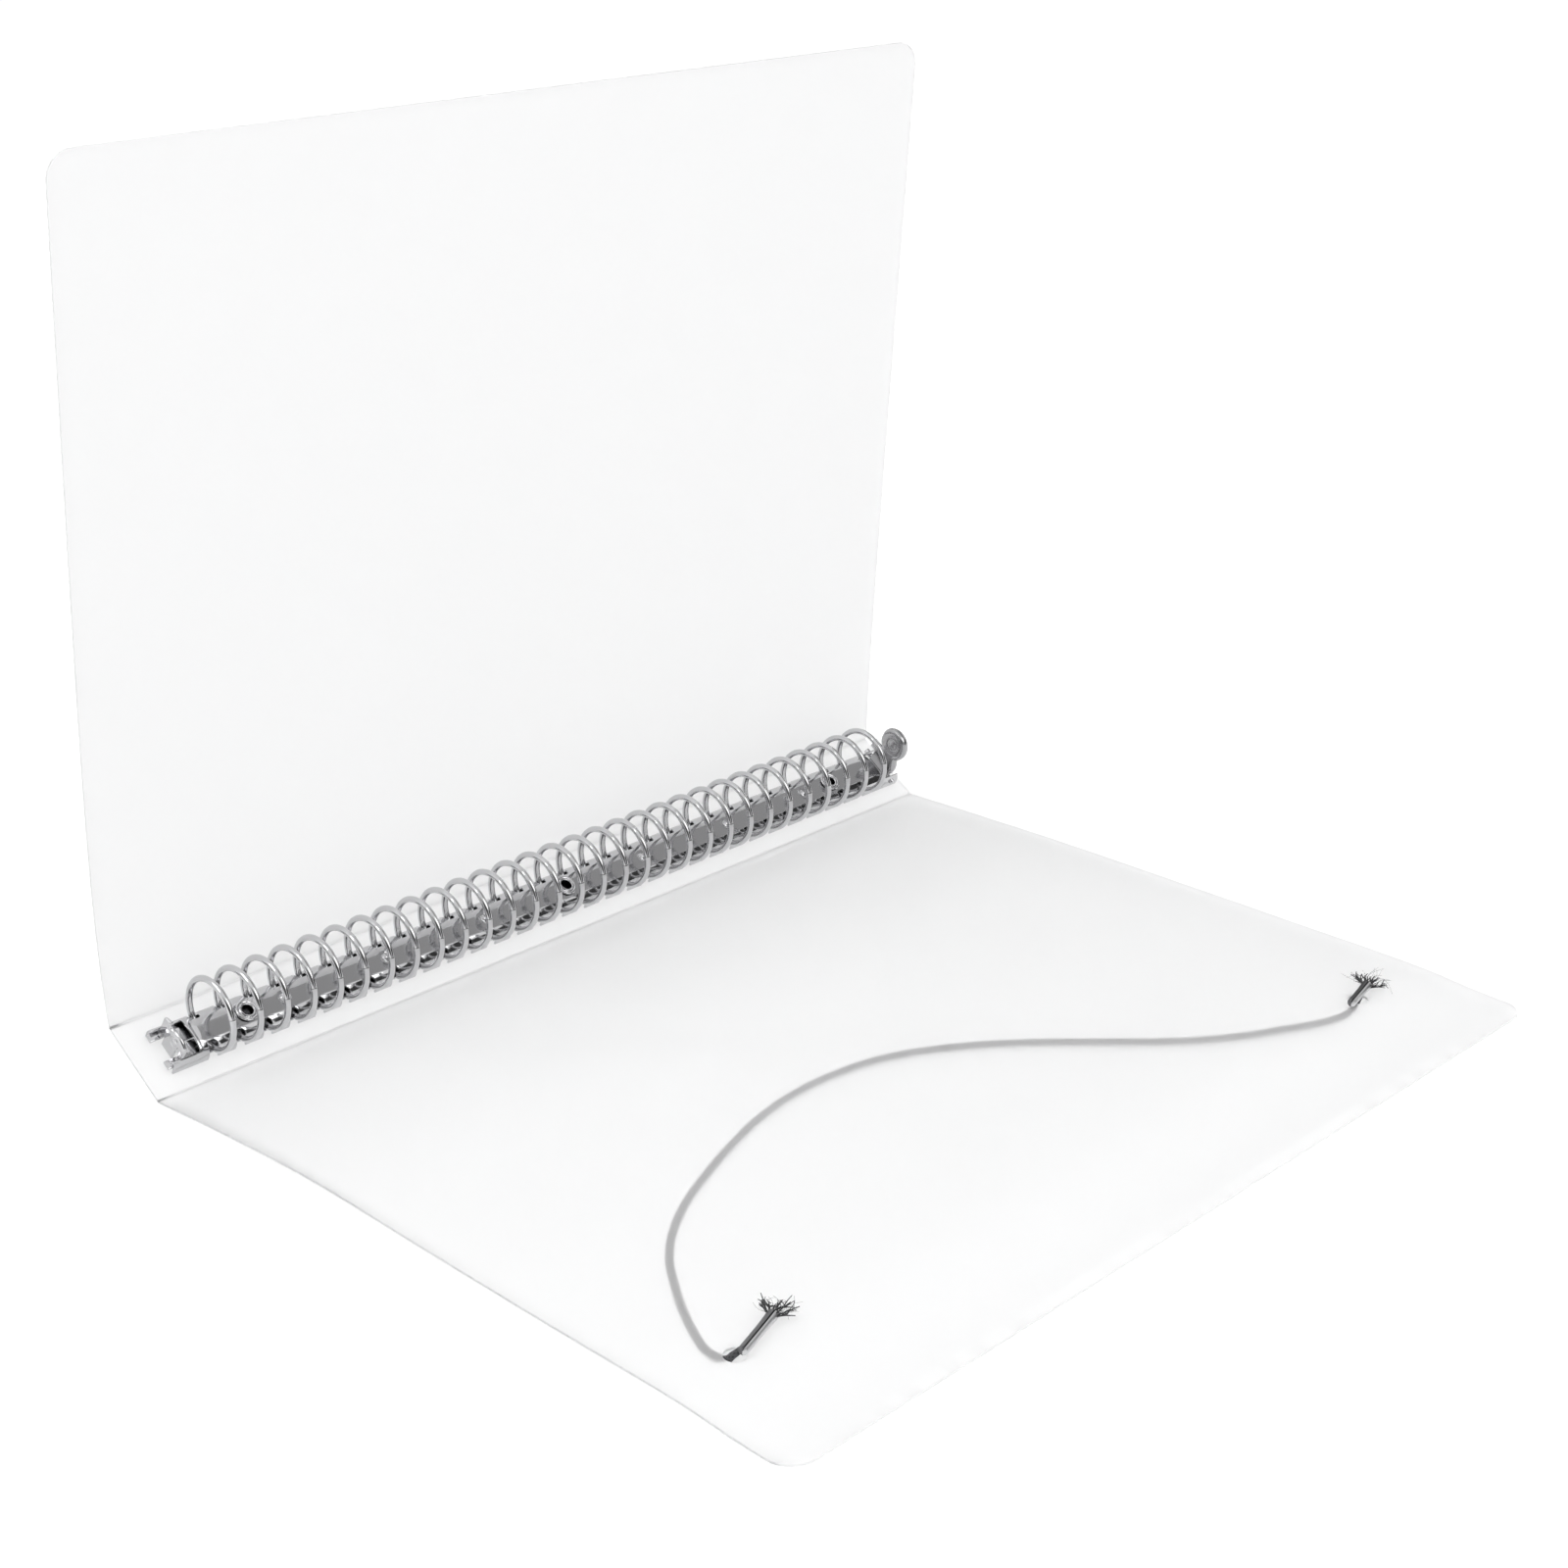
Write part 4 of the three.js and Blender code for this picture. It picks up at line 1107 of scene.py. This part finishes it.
for i in range(CURL_STEPS + 1):
    angle = CURL_START + (CURL_END - CURL_START) * i / CURL_STEPS
    across_head = curl_radius * math.cos(angle)
    curl_route.append(Vector((across_head, curl_y, HEAD_HEIGHT + curl_radius * math.sin(angle))))
curl_route = smooth_route(curl_route, RIM_STEP)
curl_last = len(curl_route) - 1
curl_radii = []
for i in range(curl_last + 1):
    grown = min(1.0, CURL_TIP_SHARE + CURL_TAPER * min(i, curl_last - i) / curl_last)
    full = math.sin(math.pi / 2 * grown)
    curl_radii.append((CURL_DEPTH * full, CURL_WIDTH * full))
sweep(lever_mesh, stations_along(curl_route), CURL_SIDES, curl_radii)
head_place = Matrix.Translation((0, lever_face, HEAD_HEIGHT)) @ face_turn
spun(lever_mesh, HEAD_PROFILE, head_place, DIMPLE_SEGMENTS)
cross_cylinder(lever_mesh, KNUCKLE_RADIUS, LEVER_FOOT_HALF, pin_y, PIN_HEIGHT, LEVER_BEVEL)
bmesh.ops.transform(lever_mesh, matrix=mechanism_place, verts=lever_mesh.verts)
dress(lever_mesh, "stamped_lever", dull_nickel, "lever", ["opening_lever"])

# The lever's pin is a short plain steel rod through both flanks of the shield, with its two ends
# standing a little proud and rounded over.
pin_mesh = bmesh.new()
cross_cylinder(pin_mesh, PIN_RADIUS, SHIELD_HALF_WIDTH + PIN_PROUD, pin_y, PIN_HEIGHT, LEVER_BEVEL)
bmesh.ops.transform(pin_mesh, matrix=mechanism_place, verts=pin_mesh.verts)
dress(pin_mesh, "cross_pin", nickel, "spine", ["lever_pin"])

# The floor is a wide pale surface. It looks white to the camera and in the metal, and still takes
# the soft shadow of the binder.
FLOOR_HALF = 6.0
FLOOR_COLOUR = (0.82, 0.82, 0.82, 1.0)
FLOOR_GLOW = 0.24
THROUGH_GLOW = 1.0
AMBIENT = 0.95


def shown_rays(nodes, links):
    """One for camera, glossy and transmission rays, and nothing for the light on surfaces."""
    path = nodes.new("ShaderNodeLightPath")
    shown = path.outputs["Is Camera Ray"]
    for kind in ("Is Glossy Ray", "Is Transmission Ray"):
        either = nodes.new("ShaderNodeMath")
        either.operation = "MAXIMUM"
        links.new(shown, either.inputs[0])
        links.new(path.outputs[kind], either.inputs[1])
        shown = either.outputs["Value"]
    return shown


def pale_floor():
    material, nodes, links, shader = finish_nodes("pale_floor")
    nodes.remove(shader)
    matt = nodes.new("ShaderNodeBsdfDiffuse")
    matt.inputs["Color"].default_value = FLOOR_COLOUR
    glow = nodes.new("ShaderNodeEmission")
    strength = nodes.new("ShaderNodeMath")
    strength.operation = "MULTIPLY"
    strength.inputs[1].default_value = FLOOR_GLOW
    links.new(shown_rays(nodes, links), strength.inputs[0])
    links.new(strength.outputs["Value"], glow.inputs["Strength"])
    lit = nodes.new("ShaderNodeAddShader")
    links.new(matt.outputs["BSDF"], lit.inputs[0])
    links.new(glow.outputs["Emission"], lit.inputs[1])
    through = nodes.new("ShaderNodeEmission")
    through.inputs["Strength"].default_value = THROUGH_GLOW
    path = nodes.new("ShaderNodeLightPath")
    either = nodes.new("ShaderNodeMixShader")
    links.new(path.outputs["Is Transmission Ray"], either.inputs["Fac"])
    links.new(lit.outputs["Shader"], either.inputs[1])
    links.new(through.outputs["Emission"], either.inputs[2])
    links.new(either.outputs["Shader"], nodes["Material Output"].inputs["Surface"])
    return material


floor_mesh = bmesh.new()
bmesh.ops.create_grid(floor_mesh, x_segments=1, y_segments=1, size=FLOOR_HALF)
floor = add_object("floor", mesh_of(floor_mesh, "floor"))
floor.data.materials.append(pale_floor())

# Two wide soft lamps and an even white room light the binder. Dark cards, seen by nothing but the
# polished metal, give its curves their dark bands, as in a product studio.
LAMPS = (
    ("key_lamp", (-0.5, -1.3, 1.7), 1.2, 12.0),
    ("fill_lamp", (1.6, 0.3, 1.4), 1.4, 8.0),
)
CARDS = (
    ("right_card", (1.45, 1.35, 0.42), (2.6, 0.84), 0.05),
    ("back_card", (0.25, 1.25, 1.35), (1.9, 1.3), 0.40),
    ("far_card", (-1.2, 1.6, 0.55), (1.6, 1.0), 0.12),
    ("front_card", (1.0, -1.1, 0.55), (2.4, 0.9), 0.10),
)
lamp_aim = Vector((0.0, 0.0, 0.05))
for name, place, size, power in LAMPS:
    lamp_data = bpy.data.lights.new(name, "AREA")
    lamp_data.shape = "DISK"
    lamp_data.size = size
    lamp_data.energy = power
    lamp = add_object(name, lamp_data)
    aim = (lamp_aim - Vector(place)).to_track_quat("-Z", "Y")
    lamp.matrix_world = Matrix.Translation(place) @ aim.to_matrix().to_4x4()
for name, place, size, tone in CARDS:
    card_mesh = bmesh.new()
    bmesh.ops.create_grid(card_mesh, x_segments=1, y_segments=1, size=0.5)
    turn = (lamp_aim - Vector(place)).to_track_quat("Z", "Y").to_matrix().to_4x4()
    spread = Matrix.Diagonal((size[0], size[1], 1.0, 1.0))
    bmesh.ops.transform(card_mesh, matrix=Matrix.Translation(place) @ turn @ spread, verts=card_mesh.verts)
    card = add_object(name, mesh_of(card_mesh, name))
    card_finish, card_nodes, card_links, card_shader = finish_nodes(name)
    card_nodes.remove(card_shader)
    card_tone = card_nodes.new("ShaderNodeEmission")
    card_tone.inputs["Color"].default_value = (tone, tone, tone, 1.0)
    card_links.new(card_tone.outputs["Emission"], card_nodes["Material Output"].inputs["Surface"])
    card.data.materials.append(card_finish)
    card.visible_camera = False
    card.visible_diffuse = False
    card.visible_transmission = False
    card.visible_shadow = False

world = bpy.data.worlds.new("white_room")
world.use_nodes = True
bpy.context.scene.world = world
world_nodes = world.node_tree.nodes
world_links = world.node_tree.links
room = world_nodes["Background"]
room.inputs["Color"].default_value = (1.0, 1.0, 1.0, 1.0)
room_strength = world_nodes.new("ShaderNodeMapRange")
room_strength.inputs["To Min"].default_value = AMBIENT
room_strength.inputs["To Max"].default_value = 1.0
world_links.new(shown_rays(world_nodes, world_links), room_strength.inputs["Value"])
world_links.new(room_strength.outputs["Result"], room.inputs["Strength"])
bpy.context.scene.view_settings.view_transform = "Standard"
